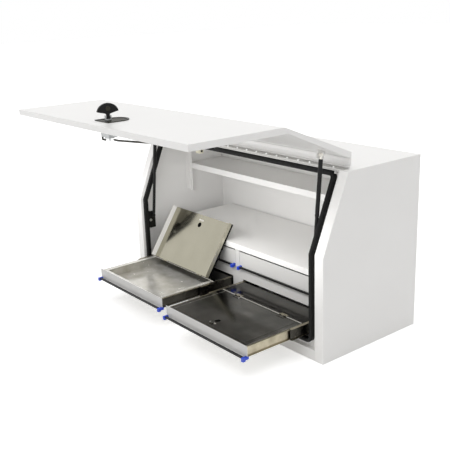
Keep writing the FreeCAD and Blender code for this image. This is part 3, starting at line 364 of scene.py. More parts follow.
class Bench:
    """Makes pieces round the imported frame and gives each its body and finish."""

    def __init__(self, frame: dict[str, Any]) -> None:
        """Keep the frame's nodes, slots and joints by name.
        """
        self.nodes: dict[str, bpy.types.Object] = frame["nodes"]
        subparts = frame["record"]["subparts"]
        self.slots: dict[str, str] = {row["node"]: row["material_slot"] for row in subparts}
        self.joints: dict[str, dict[str, Any]] = {row["name"]: row for row in frame["joints"]}

    def solid(self, node: str) -> bmesh.types.BMesh:
        """Copy a node's mesh, with its flat faces whole again.

        Args:
            node: The CAD node.

        Returns:
            A mesh with welded points and one face to each flat.
        """
        mesh = bmesh.new()
        mesh.from_mesh(self.nodes[node].data)
        bmesh.ops.remove_doubles(mesh, verts=mesh.verts, dist=SAME_POINT)
        bmesh.ops.dissolve_limit(mesh, angle_limit=FLAT_ANGLE, verts=mesh.verts, edges=mesh.edges)
        return mesh

    def dress(self, mesh: bmesh.types.BMesh, node: str, finishes: Sequence[Finish]) -> None:
        """Make a mesh into the piece that stands for a node.

        Args:
            mesh: The shape, in the frame's axes.
            node: The CAD node.
            finishes: Its finishes, in the order of its faces' indices.
        """
        name = f"{node}_dressed"
        body = self.nodes[node]["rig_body"]
        data = bpy.data.meshes.new(name)
        mesh.to_mesh(data)
        mesh.free()
        piece = bpy.data.objects.new(name, data)
        bpy.context.scene.collection.objects.link(piece)
        for finish in finishes:
            data.materials.append(finish.material())
        data.shade_smooth()
        data.set_sharp_from_angle(angle=SHARP_ANGLE)
        weighted = piece.modifiers.new("even shading", "WEIGHTED_NORMAL")
        weighted.keep_sharp = True
        weighted.weight = FACE_WEIGHT
        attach(piece, body)
        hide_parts(node)
        LOG.info("%s rides on %s", name, body)

    def rounded(self, node: str, radius: float, finishes: Sequence[Finish],
                choose: Chooser = every_edge, sort: Sorter | None = None, steps: int = 3) -> None:
        """Dress a node with a copy whose folded edges are rounded.

        Args:
            node: The CAD node.
            radius: How far the rounding reaches from each edge.
            finishes: Its finishes.
            choose: Says which edges are rounded, from an edge's middle and direction.
            sort: Gives the index of a face's finish.
            steps: Steps of the rounding.
        """
        mesh = self.solid(node)
        if sort is not None:
            paint(mesh, sort)
        self.round_edges(mesh, radius, choose, steps)
        self.dress(mesh, node, finishes)

    def keep(self, node: str, finish: Finish) -> None:
        """Dress a node whose own shape is right.

        Args:
            node: The CAD node.
            finish: Its finish.
        """
        for place in self.nodes[node].material_slots:
            place.material = finish.material()
        LOG.info("%s keeps its own shape", node)

    @staticmethod
    def join(mesh: bmesh.types.BMesh, other: bmesh.types.BMesh) -> None:
        """Add one mesh to another.

        Args:
            mesh: The mesh that takes the other.
            other: The mesh that is added, and freed.
        """
        data = bpy.data.meshes.new("joined")
        other.to_mesh(data)
        other.free()
        mesh.from_mesh(data)
        bpy.data.meshes.remove(data)

    @staticmethod
    def round_edges(mesh: bmesh.types.BMesh, radius: float, choose: Chooser = every_edge,
                    steps: int = 3) -> None:
        """Round the folded edges of a mesh.

        Args:
            mesh: The mesh to change.
            radius: How far the rounding reaches from each edge.
            choose: Says which edges are rounded.
            steps: Steps of the rounding.
        """
        folds = []
        for edge in mesh.edges:
            if len(edge.link_faces) != 2 or edge.calc_face_angle(0.0) < FOLD_ANGLE:
                continue
            start, end = (vertex.co for vertex in edge.verts)
            if choose((start + end) / 2, (end - start).normalized()):
                folds.append(edge)
        bmesh.ops.bevel(mesh, geom=folds, offset=radius, offset_type="OFFSET", segments=steps,
                        profile=0.5, affect="EDGES", clamp_overlap=True)


def lathe(mesh: bmesh.types.BMesh, origin: Vector, axis: Vector, profile: Sequence[Point],
          steps: int = 20, index: int = 0) -> None:
    """Turn a profile about an axis and close its ends.

    Args:
        mesh: The mesh that takes the turned form.
        origin: A point on the axis.
        axis: The axis, as a unit vector.
        profile: Pairs of distance along the axis and radius.
        steps: Points round each ring.
        index: The finish of the new faces.
    """
    across = axis.orthogonal().normalized()
    other = axis.cross(across)
    turns = [2 * math.pi * step / steps for step in range(steps)]
    rings = []
    for along, radius in profile:
        centre = origin + axis * along
        spokes = [(across * math.cos(turn) + other * math.sin(turn)) * radius for turn in turns]
        rings.append([mesh.verts.new(centre + spoke) for spoke in spokes])
    faces = []
    for low, high in zip(rings, rings[1:]):
        for step in range(steps):
            following = (step + 1) % steps
            faces.append(mesh.faces.new((low[step], low[following], high[following], high[step])))
    faces.append(mesh.faces.new(rings[0][::-1]))
    faces.append(mesh.faces.new(rings[-1]))
    for face in faces:
        face.material_index = index


def islands(mesh: bmesh.types.BMesh) -> list[tuple[Vector, Vector]]:
    """Find the separate pieces of a mesh, in the order of their points.

    Args:
        mesh: The mesh to look through.

    Returns:
        The lowest and highest corner of each piece's box.
    """
    boxes = []
    done = set()
    for first in mesh.verts:
        if first in done:
            continue
        done.add(first)
        front = [first]
        found = []
        while front:
            vertex = front.pop()
            found.append(vertex.co)
            near = {edge.other_vert(vertex) for edge in vertex.link_edges} - done
            done |= near
            front += near
        boxes.append((Vector(map(min, zip(*found))), Vector(map(max, zip(*found)))))
    return boxes


def extruded(outline: Sequence[Point], matrix: Matrix, low: float, high: float) -> bmesh.types.BMesh:
    """Draw a flat outline out into a plate.

    Args:
        outline: Points across and up, in order.
        matrix: Takes across, up and depth to the frame's axes.
        low: Where the plate starts in depth.
        high: Where it ends.

    Returns:
        The closed plate.
    """
    mesh = bmesh.new()
    near = [mesh.verts.new(matrix @ Vector((x, y, low))) for x, y in outline]
    far = [mesh.verts.new(matrix @ Vector((x, y, high))) for x, y in outline]
    mesh.faces.new(near[::-1])
    mesh.faces.new(far)
    count = len(outline)
    for step in range(count):
        following = (step + 1) % count
        mesh.faces.new((near[step], near[following], far[following], far[step]))
    bmesh.ops.recalc_face_normals(mesh, faces=mesh.faces)
    return mesh


@dataclass
class Case:
    """The welded case: panels, frame of the opening, shelf and hinge.

    A face whose normal reaches past forward along Y looks to the front. The crown multiplies the rise
    of the hinge rivets, and the dome gives the turns of a rivet's profile in radians.
    """

    bench: Bench
    corner: float = 2.2 * MM
    fold: float = 1.1 * MM
    rail_edge: float = 0.8 * MM
    hinge_edge: float = 0.5 * MM
    weld: float = 5.0 * MM
    leaf: float = 2.3 * MM
    forward: float = -0.3
    crown: float = 1.8
    dome: tuple[float, ...] = (0.0, 0.3, 0.6, 0.9, 1.2, 1.5)
    left: float = field(init=False)
    right: float = field(init=False)
    top: float = field(init=False)

    def __post_init__(self) -> None:
        """Read the ends and the top of the case from its panels."""
        self.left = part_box("left_end_panel")[0].x
        self.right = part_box("right_end_panel")[1].x
        self.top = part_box("top_panel")[1].z

    def from_end(self, middle: Vector) -> float:
        """How far a point lies from the nearer end of the case."""
        return min(abs(middle.x - self.left), abs(middle.x - self.right))

    def outside(self, middle: Vector, _along: Vector) -> bool:
        """Whether an edge lies on an end of the case, where the welds are ground round."""
        return self.from_end(middle) < TOUCH

    def upright(self, middle: Vector, along: Vector) -> bool:
        """Whether an edge is a long fold of a jamb, clear of the weld to the end panel."""
        return abs(along.x) < SQUARE and self.from_end(middle) > self.weld

    def hinge_margin(self, face: bmesh.types.BMFace) -> int:
        """Pick out the front faces of the top panel, round the hinge strip, which take painted shade.
        """
        return int(face.normal.y < self.forward)

    def knuckle(self, face: bmesh.types.BMFace) -> int:
        """Pick out the faces of the fixed hinge leaf that stand above its flat."""
        return int(face.calc_center_median().z > self.top + self.leaf)

    def build(self) -> None:
        """Dress the panels, the frame, the shelf and the hinge."""
        rounded = self.bench.rounded
        for side in Side:
            rounded(f"{side.value}_end_panel", self.corner, [POWDER_COAT], self.outside)
            rounded(f"{side.value}_jamb", self.fold, [POWDER_COAT], self.upright)
        rounded("top_panel", self.fold, [POWDER_COAT, HINGE_STRIP_SHADE], along_box, self.hinge_margin)
        for node in ("back_panel", "floor_panel", "opening_sill", "rear_shelf"):
            rounded(node, self.fold, [POWDER_COAT], along_box)
        rounded("shelf_rails", self.rail_edge, [POWDER_COAT])
        self.rivets()
        # The flat of the fixed leaf takes painted shade; its knuckles stay white.
        rounded("hinge_fixed_leaf", self.hinge_edge, [HINGE_STRIP_SHADE, POWDER_COAT], sort=self.knuckle)
        rounded("hinge_pin", self.hinge_edge, [POWDER_COAT])

    def rivets(self) -> None:
        """Turn a domed head for each rivet of the hinge and of the shelf rails, white as a painted
        glint.
        """
        mesh = bmesh.new()
        source = self.bench.solid("case_rivets")
        for low, high in islands(source):
            size = high - low
            middle = (low + high) / 2
            radius = max(size) / 2
            if size.z < size.x:
                base = Vector((middle.x, middle.y, low.z))
                axis = Vector((0, 0, 1))
                rise = self.crown * size.z
            else:
                side = Side.RIGHT if middle.x > 0 else Side.LEFT
                base = Vector((high.x if side is Side.RIGHT else low.x, middle.y, middle.z))
                axis = side.inward
                rise = size.x
            profile = [(rise * math.sin(turn), radius * math.cos(turn)) for turn in self.dome]
            lathe(mesh, base, axis, profile)
        source.free()
        self.bench.dress(mesh, "case_rivets", [RIVET_PAINTED_GLINT])


@dataclass
class DoorSeal:
    """The rubber ring round the opening, drawn flat and bent to the front of the case.

    The section pairs a share of the ring's width with a depth in millimetres behind the front.
    """

    bench: Bench
    front: float = -300.0 * MM
    knee: float = 467.0 * MM
    slant: float = math.atan2(142.6, 333.0)
    width: float = 16.0 * MM
    top_width: float = 22.0 * MM
    corner: float = 30.0 * MM
    arc_steps: int = 8
    section: tuple[Point, ...] = ((0.0, 23.0), (0.0, 5.0), (0.06, 2.2), (0.2, 0.0), (0.5, -1.5),
                                  (0.8, 0.0), (0.94, 2.2), (1.0, 5.0), (1.0, 23.0))

    def place(self, x: float, along: float, depth: float) -> Vector:
        """Bend a point of the flat ring to the front of the case.

        Args:
            x: Its place along the box.
            along: Its distance from the floor up the front.
            depth: Its depth behind the front.

        Returns:
            The point in the frame's axes.
        """
        if abs(along - self.knee) < SAME_POINT:
            return Vector((x, self.front + depth, self.knee - depth * math.tan(self.slant / 2)))
        if along < self.knee:
            return Vector((x, self.front + depth, along))
        run = along - self.knee
        return Vector((x, self.front + run * math.sin(self.slant) + depth * math.cos(self.slant),
                       self.knee + run * math.cos(self.slant) - depth * math.sin(self.slant)))

    def loop(self, half: float, low: float, high: float, radius: float) -> list[Point]:
        """Draw a rectangle with round corners.

        Args:
            half: Half its length along the box.
            low: Its lower edge.
            high: Its upper edge.
            radius: The radius of its corners.

        Returns:
            Points along the box and up the front, once round.
        """
        points = []
        middles = [(half - radius, low + radius), (half - radius, high - radius),
                   (radius - half, high - radius), (radius - half, low + radius)]
        for quarter, (x, along) in enumerate(middles):
            for step in range(self.arc_steps + 1):
                turn = math.pi / 2 * (quarter - 1 + step / self.arc_steps)
                points.append((x + radius * math.cos(turn), along + radius * math.sin(turn)))
            if quarter % 2 == 0:
                points.append((half if quarter == 0 else -half, self.knee))
        return points

    def build(self) -> None:
        """Draw the ring round, bend it and dress it."""
        low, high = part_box("door_seal")
        top = self.knee + (high.z - self.knee) / math.cos(self.slant)
        outer = self.loop(high.x, low.z, top, self.corner)
        inner = self.loop(high.x - self.width, low.z + self.width, top - self.top_width,
                          self.corner - self.width)
        mesh = bmesh.new()
        rings = []
        for (x0, s0), (x1, s1) in zip(outer, inner):
            rings.append([mesh.verts.new(self.place(x0 + (x1 - x0) * t, s0 + (s1 - s0) * t, depth * MM))
                          for t, depth in self.section])
        count = len(self.section)
        for ring, following in zip(rings, rings[1:] + rings[:1]):
            for step in range(count):
                other = (step + 1) % count
                mesh.faces.new((ring[step], ring[other], following[other], following[step]))
        bmesh.ops.recalc_face_normals(mesh, faces=mesh.faces)
        self.bench.dress(mesh, "door_seal", [SEAL_RUBBER])


@dataclass
class Cabinet:
    """The drawer housing and the fixed members of its slides."""

    bench: Bench
    fold: float = 1.0 * MM
    slide_edge: float = 0.5 * MM

    def build(self) -> None:
        """Dress the housing and the slides."""
        for node in ("cabinet_sides", "cabinet_partition", "cabinet_deck"):
            self.bench.rounded(node, self.fold, [POWDER_COAT])
        self.bench.keep("cabinet_front_frame", FACE_COAT)
        self.bench.rounded("slide_outer_members", self.slide_edge, [DARK_STEEL])


@dataclass
class Lid:
    """The lid's two skins, its hinge leaf and the strut lugs."""

    bench: Bench
    fold: float = 2.0 * MM
    fold_steps: int = 4
    liner_edge: float = 0.8 * MM
    leaf_edge: float = 0.5 * MM
    lug_edge: float = 1.0 * MM

    def build(self) -> None:
        """Dress the lid."""
        self.bench.rounded("lid_outer_skin", self.fold, [POWDER_COAT], self.outer_fold,
                           steps=self.fold_steps)
        self.bench.rounded("lid_inner_skin", self.liner_edge, [POWDER_COAT])
        self.bench.rounded("hinge_moving_leaf", self.leaf_edge, [POWDER_COAT])
        self.bench.rounded("strut_upper_brackets", self.lug_edge, [POWDER_COAT])

    def outer_fold(self, middle: Vector, along: Vector) -> bool:
        """Whether an edge is on the outside of the lid.

        Args:
            middle: The edge's middle.
            along: Its direction.

        Returns:
            True for the long folds, the free edge and the two sides.
        """
        low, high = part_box("lid_outer_skin")
        side = min(abs(middle.x - low.x), abs(middle.x - high.x)) < TOUCH
        free = abs(middle.y - low.y) < TOUCH
        return side or free or along_box(middle, along)


@dataclass
class Lock:
    """The folding handle in its dish, the lock body, its rods and guides.

    The waist pairs shares of half the stem's width with shares of the neck's height.
    The fan gives the start and the sweep of the head's arc, as shares of a half turn.
    The barrel's profile pairs distances out of the handle's face with radii.
    """

    bench: Bench
    dish_edge: float = 0.7 * MM
    body_edge: float = 2.0 * MM
    rod_edge: float = 0.6 * MM
    guide_edge: float = 1.2 * MM
    head_width: float = 93.0 * MM
    head_height: float = 42.0 * MM
    neck: float = 15.0 * MM
    foot: float = 7.0 * MM
    stem_width: float = 17.0 * MM
    waist: tuple[Point, ...] = ((0.72, 0.35), (0.9, 0.8), (1.5, 1.0))
    fan: Point = (0.06, 0.88)
    arc_steps: int = 20
    thickness: float = 13.0 * MM
    edge: float = 1.8 * MM
    edge_steps: int = 4
    barrel_up: float = 0.48
    barrel_sunk: float = 0.4 * MM
    barrel_steps: int = 28
    barrel: tuple[Point, ...] = ((0.0, 10.0 * MM), (2.4 * MM, 10.0 * MM), (3.0 * MM, 9.4 * MM),
                                 (3.0 * MM, 6.0 * MM), (2.2 * MM, 5.0 * MM))

    def build(self) -> None:
        """Dress every piece of the lock."""
        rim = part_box("lock_dish")[1].z

        def basin(face: bmesh.types.BMFace) -> int:
            """Pick out the faces below the dish's rim."""
            return int(face.calc_center_median().z < rim - TOUCH)

        self.bench.rounded("lock_dish", self.dish_edge, [BLACK_ENAMEL, OLIVE_ZINC], sort=basin)
        self.bench.rounded("lock_body", self.body_edge, [CAST_ZINC])
        self.bench.rounded("lock_spindle", self.rod_edge, [CAST_ZINC])
        self.bench.rounded("lock_rod_guides", self.guide_edge, [NYLON])
        for side in Side:
            self.bench.rounded(f"{side.value}_lock_rod", self.rod_edge, [OLIVE_ZINC])
        self.handle()

    def outline(self) -> list[Point]:
        """Draw the fan-headed handle as seen from in front.

        Returns:
            Points across and up from the folding pin.
        """
        half = self.head_width / 2
        stem = self.stem_width / 2
        side = [(stem, -self.foot)] + [(x * stem, y * self.neck) for x, y in self.waist]
        start, sweep = self.fan
        head = []
        for step in range(self.arc_steps + 1):
            turn = math.pi * (start + sweep * step / self.arc_steps)
            head.append((half * math.cos(turn), self.neck + self.head_height * math.sin(turn)))
        return side + head + [(-x, y) for x, y in reversed(side)]

    def handle(self) -> None:
        """Build the handle on its folding pin, with its key barrel."""
        joint = self.bench.joints["handle_fold"]
        pin = Vector(joint["pos_m"])
        across = Vector(joint["axis"]).normalized()
        up = Vector((0, 0, 1))
        depth = across.cross(up)
        half = self.thickness / 2
        mesh = extruded(self.outline(), axes(across, up, depth, pin), -half, half)
        self.bench.round_edges(mesh, self.edge, steps=self.edge_steps)
        height = self.neck + self.barrel_up * self.head_height
        face = pin + up * height + depth * (half - self.barrel_sunk)
        lathe(mesh, face, depth, self.barrel, self.barrel_steps, index=1)
        self.bench.dress(mesh, "lock_handle", [BLACK_ENAMEL, OLIVE_ZINC])


@dataclass
class GasStrut:
    """One gas strut: a rod in a black sleeve with an eye, and a black tube with a crimped nose.

    The nose and the tail pair millimetres from an end of the tube with shares of its radius.
    The shank pairs heights on the rod with radii, both as shares of the eye's radius.
    The sleeve's foot pairs the same heights with shares of the sleeve's radius.
    """

    bench: Bench
    side: Side
    tube: float = 9.0 * MM
    tube_steps: int = 28
    nose: tuple[Point, ...] = ((0.0, 0.62), (1.5, 0.78), (4.0, 0.97), (6.0, 1.0), (14.0, 1.0),
                               (15.0, 0.93), (17.0, 0.93), (18.0, 1.0))
    tail: tuple[Point, ...] = ((-3.0, 1.0), (-1.0, 0.92), (0.0, 0.7))
    neck: float = 18.0 * MM
    neck_sunk: float = 1.0 * MM
    neck_share: float = 0.56
    stud: float = 4.0 * MM
    stud_steps: int = 16
    eye: float = 8.0 * MM
    eye_half: float = 6.0 * MM
    eye_soft: float = 1.2 * MM
    eye_steps: int = 24
    sleeve: float = 7.8 * MM
    shank: tuple[Point, ...] = ((0.4, 0.62), (1.6, 0.62))
    sleeve_foot: tuple[Point, ...] = ((1.3, 0.7), (1.6, 1.0))

    def span(self, node: str, origin: Vector, axis: Vector) -> Point:
        """How far a node reaches along the strut, from its lower pivot.

        Args:
            node: The CAD node.
            origin: The lower pivot.
            axis: The strut's direction.

        Returns:
            Least and most distance along the strut.
        """
        reach = [(vertex.co - origin).dot(axis) for vertex in self.bench.nodes[node].data.vertices]
        return min(reach), max(reach)

    def build(self) -> None:
        """Build the rod, the tube and their ends."""
        pivot = Vector(self.bench.joints[f"{self.side.value}_strut_lean"]["pos_m"])
        axis = Vector(self.bench.joints[f"{self.side.value}_strut_stroke"]["axis"]).normalized()
        self.build_rod(pivot, axis)
        self.build_tube(pivot, axis)

    def build_rod(self, pivot: Vector, axis: Vector) -> None:
        """Build the sleeved rod from its eye up into the tube.

        Args:
            pivot: The lower pivot.
            axis: The strut's direction.
        """
        node = f"{self.side.value}_strut_rod"
        end = self.span(node, pivot, axis)[1]
        mesh = bmesh.new()
        lathe(mesh, pivot, axis, [(up * self.eye, share * self.eye) for up, share in self.shank])
        foot = [(up * self.eye, share * self.sleeve) for up, share in self.sleeve_foot]
        lathe(mesh, pivot, axis, foot + [(end, self.sleeve)])
        self.ring(mesh, pivot)
        self.bench.dress(mesh, node, [BLACK_ENAMEL])

    def build_tube(self, pivot: Vector, axis: Vector) -> None:
        """Build the tube, with the bright eye and stud at its upper end.

        Args:
            pivot: The lower pivot.
            axis: The strut's direction.
        """
        node = f"{self.side.value}_strut_tube"
        low, high = self.span(node, pivot, axis)
        top = high - self.eye
        body = top - self.neck
        mesh = bmesh.new()
        nose = [(low + up * MM, share * self.tube) for up, share in self.nose]
        tail = [(body + up * MM, share * self.tube) for up, share in self.tail]
        lathe(mesh, pivot, axis, nose + tail, self.tube_steps)
        neck = self.neck_share * self.tube
        lathe(mesh, pivot, axis, [(body - self.neck_sunk, neck), (top, neck)], index=1)
        centre = pivot + axis * top
        self.ring(mesh, centre, 1)
        inner_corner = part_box(node)[1 if self.side is Side.LEFT else 0]
        stud_end = abs(inner_corner.x - pivot.x)
        stud = [(0.0, self.stud), (stud_end, self.stud)]
        lathe(mesh, centre, self.side.inward, stud, self.stud_steps, 1)
        self.bench.dress(mesh, node, [BLACK_ENAMEL, BRUSHED_EDGE])

    def ring(self, mesh: bmesh.types.BMesh, centre: Vector, index: int = 0) -> None:
        """Add the eye at a strut's end.

        Args:
            mesh: The mesh that takes it.
            centre: The eye's middle.
            index: The finish of its faces.
        """
        shoulder = self.eye_half - self.eye_soft
        rim = self.eye - self.eye_soft
        profile = [(-self.eye_half, rim), (-shoulder, self.eye),
                   (shoulder, self.eye), (self.eye_half, rim)]
        lathe(mesh, centre, Vector((1, 0, 0)), profile, self.eye_steps, index)


@dataclass
class StrutBrackets:
    """The two lower strut brackets, each with a bolt head on its inner face."""

    bench: Bench
    fold: float = 1.0 * MM
    bolt: tuple[Point, ...] = ((0.0, 7.5 * MM), (3.0 * MM, 7.5 * MM), (4.0 * MM, 6.5 * MM))
    outboard: float = 10.0 * MM
    ahead: float = 15.0 * MM
    below: float = 26.0 * MM

    def build(self) -> None:
        """Dress the brackets."""
        node = "strut_lower_brackets"
        mesh = self.bench.solid(node)
        self.bench.round_edges(mesh, self.fold)
        for side in Side:
            pivot = Vector(self.bench.joints[f"{side.value}_strut_lean"]["pos_m"])
            base = pivot - side.inward * self.outboard - Vector((0, self.ahead, self.below))
            lathe(mesh, base, side.inward, self.bolt, index=1)
        self.bench.dress(mesh, node, [BLACK_ENAMEL, CAST_ZINC])


@dataclass
class Drawer:
    """One drawer with its slides, face, tray, flap and release bar.

    The cup's profile pairs distances out of the flap with radii.
    The catch plate's half sizes are across the drawer, along the flap and through it.
    """

    bench: Bench
    bay: Bay
    sheet_edge: float = 0.5 * MM
    face_edge: float = 0.9 * MM
    face_depth: float = 2.6 * MM
    slide_edge: float = 0.4 * MM
    hinge_edge: float = 0.3 * MM
    lever_edge: float = 2.6 * MM
    lever_span: float = 40.0 * MM
    bead: float = 1.4 * MM
    bead_behind: float = 0.2 * MM
    bead_below: float = 0.3 * MM
    bead_steps: int = 12
    # Depth of the black strip along the outer lips: painted shade.
    flap_rim: float = 9.0 * MM
    cup: tuple[Point, ...] = ((-0.9 * MM, 13.2 * MM), (0.2 * MM, 13.2 * MM), (0.9 * MM, 12.276 * MM))
    cup_steps: int = 24
    cup_from_hinge: float = 238.0 * MM
    cup_below_hinge: float = 4.85 * MM
    catch_ahead: float = 26.0 * MM
    catch_half: Triple = (19.0 * MM, 4.0 * MM, 1.2 * MM)
    catch_edge: float = 0.4 * MM

    def node(self, piece: str) -> str:
        """The full name of one of the drawer's nodes."""
        return f"{self.bay.value}_{piece}"

    def build(self) -> None:
        """Dress every piece of the drawer."""
        if self.bay in (Bay.LOWER_LEFT, Bay.LOWER_RIGHT):
            self.tray()
            self.bench.rounded(self.node("face"), self.face_edge, [FACE_COAT])
            self.rear_cover()
            self.bench.rounded(self.node("flap_hinges"), self.hinge_edge, [ZINC_PLATE])
            self.flap()
        else:
            self.folded_tray()
        # The lower left drawer's inner slide is dark steel where the others are zinc: painted shade
        # from the drawer beside it.
        inner = DARK_STEEL if self.bay is Bay.LOWER_LEFT else ZINC_PLATE
        # The level lips of each slide are lighter than its sides: painted highlight.
        for piece, finish in (("slide_inner", inner), ("slide_middle", DARK_STEEL)):
            self.bench.rounded(self.node(piece), self.slide_edge, [finish, ZINC_PLATE], sort=level)
        self.release_bar()

    def folded_tray(self) -> None:
        """Dress an upper drawer, whose tray and front are one folded sheet."""
        node = self.node("drawer")
        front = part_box(node)[0].y

        def behind(face: bmesh.types.BMFace) -> int:
            """Pick out the faces behind the coated front."""
            return int(face.calc_center_median().y > front + self.face_depth)

        self.bench.rounded(node, self.sheet_edge, [FACE_COAT, BRIGHT_SHEET], sort=behind)

    def tray(self) -> None:
        """Dress a lower tray: bright inside, duller outside, and on the tray whose flap is shut the
        walls and ledge are painted dark, a painted reflection.
        """
        node = self.node("tray")
        low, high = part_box(node)
        ledge = self.bay is Bay.LOWER_RIGHT

        def outside(face: bmesh.types.BMFace) -> int:
            """Pick out the outer walls and the ledge.

            Args:
                face: A face of the tray.

            Returns:
                1 for those, and otherwise 0.
            """
            middle = face.calc_center_median()
            wall = min(middle.x - low.x, high.x - middle.x) < TOUCH
            return int(wall or (ledge and face.normal.z > ALIGNED and middle.z > high.z - TOUCH))

        # The shut drawer's walls and ledge take the sheet painted dark: painted reflection.
        walls = PAINTED_REFLECTION_SHEET if ledge else SATIN_SHEET
        self.bench.rounded(node, self.sheet_edge, [BRIGHT_SHEET, walls], sort=outside)

    def rear_cover(self) -> None:
        """Dress the rear cover, with a bright bead along its front edge."""
        node = self.node("rear_cover")
        low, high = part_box(node)
        mesh = self.bench.solid(node)
        self.bench.round_edges(mesh, self.sheet_edge)
        start = Vector((low.x, low.y + self.bead_behind, high.z - self.bead_below))
        profile = [(0.0, self.bead), (high.x - low.x, self.bead)]
        lathe(mesh, start, Vector((1, 0, 0)), profile, self.bead_steps, 1)
        # The cover is painted dark: painted reflection.
        self.bench.dress(mesh, node, [PAINTED_REFLECTION_SHEET, BRUSHED_EDGE])

    def flap(self) -> None:
        """Dress the flap: painted dark reflection above, bright below, white inside its lips as a
        painted reflection, a black strip along its outer lips and a black cup as painted shade, and a
        catch plate.
        """
        node = self.node("flap")
        joint = self.bench.joints[self.node("flap_hinge")]
        turn = -math.radians(joint["range_deg"][1])
        upper = Vector((0, -math.sin(turn), math.cos(turn)))
        ahead = Vector((0, -math.cos(turn), -math.sin(turn)))
        low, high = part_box(node)
        centre = (low.x + high.x) / 2
        hinge = Vector((centre, joint["pos_m"][1], joint["pos_m"][2]))
        cup = hinge + ahead * self.cup_from_hinge - upper * self.cup_below_hinge
        rim = cup.dot(upper) - self.flap_rim

        def surface(face: bmesh.types.BMFace) -> FlapFace:
            """Tell which surface of the flap a face belongs to.

            Args:
                face: A face of the flap.

            Returns:
                The surface, whose number is the index of its finish.
            """
            spot = face.calc_center_median()
            if abs(face.normal.x) > ALIGNED:
                if face.normal.x * (spot.x - centre) < 0:
                    return FlapFace.INNER_LIP
                # The strip of the outer lip next to the upper side is black: painted shade.
                return FlapFace.EDGING if spot.dot(upper) > rim else FlapFace.OUTER_LIP
            shown = face.normal.dot(upper) > ALIGNED or face.normal.dot(ahead) > ALIGNED
            return FlapFace.UPPER if shown else FlapFace.LOWER

        mesh = self.bench.solid(node)
        bmesh.ops.bisect_plane(mesh, geom=[*mesh.verts, *mesh.edges, *mesh.faces], plane_co=upper * rim,
                               plane_no=upper)
        paint(mesh, surface)
        self.bench.round_edges(mesh, self.sheet_edge)
        # A flat black disc fills the finger hole: painted shade.
        lathe(mesh, cup, upper, self.cup, self.cup_steps, FlapFace.EDGING)
        plate_axes = axes(Vector((1, 0, 0)), ahead, upper, cup + ahead * self.catch_ahead)
        self.bench.join(mesh, self.catch_plate(plate_axes))
        self.bench.dress(mesh, node, list(FLAP_FINISHES.values()))

    def catch_plate(self, matrix: Matrix) -> bmesh.types.BMesh:
        """Make the catch plate beside a finger cup, whose white is in part a painted highlight on the
        hole's rim.

        Args:
            matrix: The plate's own axes, across the drawer, along the flap and out of it.

        Returns:
            The plate, with the index of its finish.
        """
        across, along, through = self.catch_half
        corners = [(-across, -along), (across, -along), (across, along), (-across, along)]
        plate = extruded(corners, matrix, -through, through)
        self.bench.round_edges(plate, self.catch_edge)
        paint(plate, lambda _face: FlapFace.CATCH)
        return plate

    def release_bar(self) -> None:
        """Dress the black bar and its two blue levers."""
        node = self.node("release_bar")
        low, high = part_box(node)

        def lever(face: bmesh.types.BMFace) -> int:
            """Pick out the faces of the levers, which are short and lie at the bar's ends.

            Args:
                face: A face of the bar or of a lever.

            Returns:
                1 for a lever's, and 0 for the bar's.
            """
            middle = face.calc_center_median().x
            at_end = min(middle - low.x, high.x - middle) < self.lever_span
            reach = [vertex.co.x for vertex in face.verts]
            return int(at_end and max(reach) - min(reach) < self.lever_span)

        self.bench.rounded(node, self.lever_edge, [BLACK_ENAMEL, BLUE_ACETAL], sort=lever)


@dataclass(frozen=True)
class SunLight:
    """A distant soft light.

    Args:
        name: What it is.
        energy: Its strength.
        spread: How wide it is in the sky, in degrees.
        towards: The way to it from the box.
    """

    name: str
    energy: float
    spread: float
    towards: Triple

    def hang(self) -> None:
        """Add the light to the scene."""
        light = bpy.data.lights.new(self.name, "SUN")
        light.energy = self.energy
        light.angle = math.radians(self.spread)
        lamp = bpy.data.objects.new(self.name, light)
        lamp.rotation_euler = Vector(self.towards).normalized().to_track_quat("Z", "Y").to_euler()
        bpy.context.scene.collection.objects.link(lamp)


@dataclass(frozen=True)
class PanelLight:
    """A lit panel near the box, which neither shows nor mirrors.

    Args:
        name: What it is.
        energy: Its strength.
        size: Its length and height.
        towards: The way that its back faces.
        place: Where its middle hangs.
    """

    name: str
    energy: float
    size: Point
    towards: Triple
    place: Triple

    def hang(self) -> None:
        """Add the light to the scene."""
        light = bpy.data.lights.new(self.name, "AREA")
        light.shape = "RECTANGLE"
        light.size, light.size_y = self.size
        light.energy = self.energy
        lamp = bpy.data.objects.new(self.name, light)
        lamp.visible_camera = False
        lamp.visible_glossy = False
        matrix = Vector(self.towards).to_track_quat("Z", "Y").to_matrix().to_4x4()
        matrix.translation = Vector(self.place)
        lamp.matrix_world = matrix
        bpy.context.scene.collection.objects.link(lamp)


# A large soft light above the box, a weaker one in front of it and two under the open lid.
LIGHTS = (
    SunLight("soft overhead light", energy=1.7, spread=75.0, towards=(0.0, -0.12, 1.0)),
    SunLight("soft front light", energy=0.5, spread=80.0, towards=(0.1, -1.0, 0.12)),
    PanelLight("light over the drawers", energy=3.5, size=(1.2, 0.15), towards=(0.0, -0.7, 0.7),
               place=(0.0, -0.5, 0.57)),
    PanelLight("light along the hinge", energy=0.12, size=(1.3, 0.02), towards=(0.0, -0.95, 0.3),
               place=(0.0, -0.21, 0.815)),
)


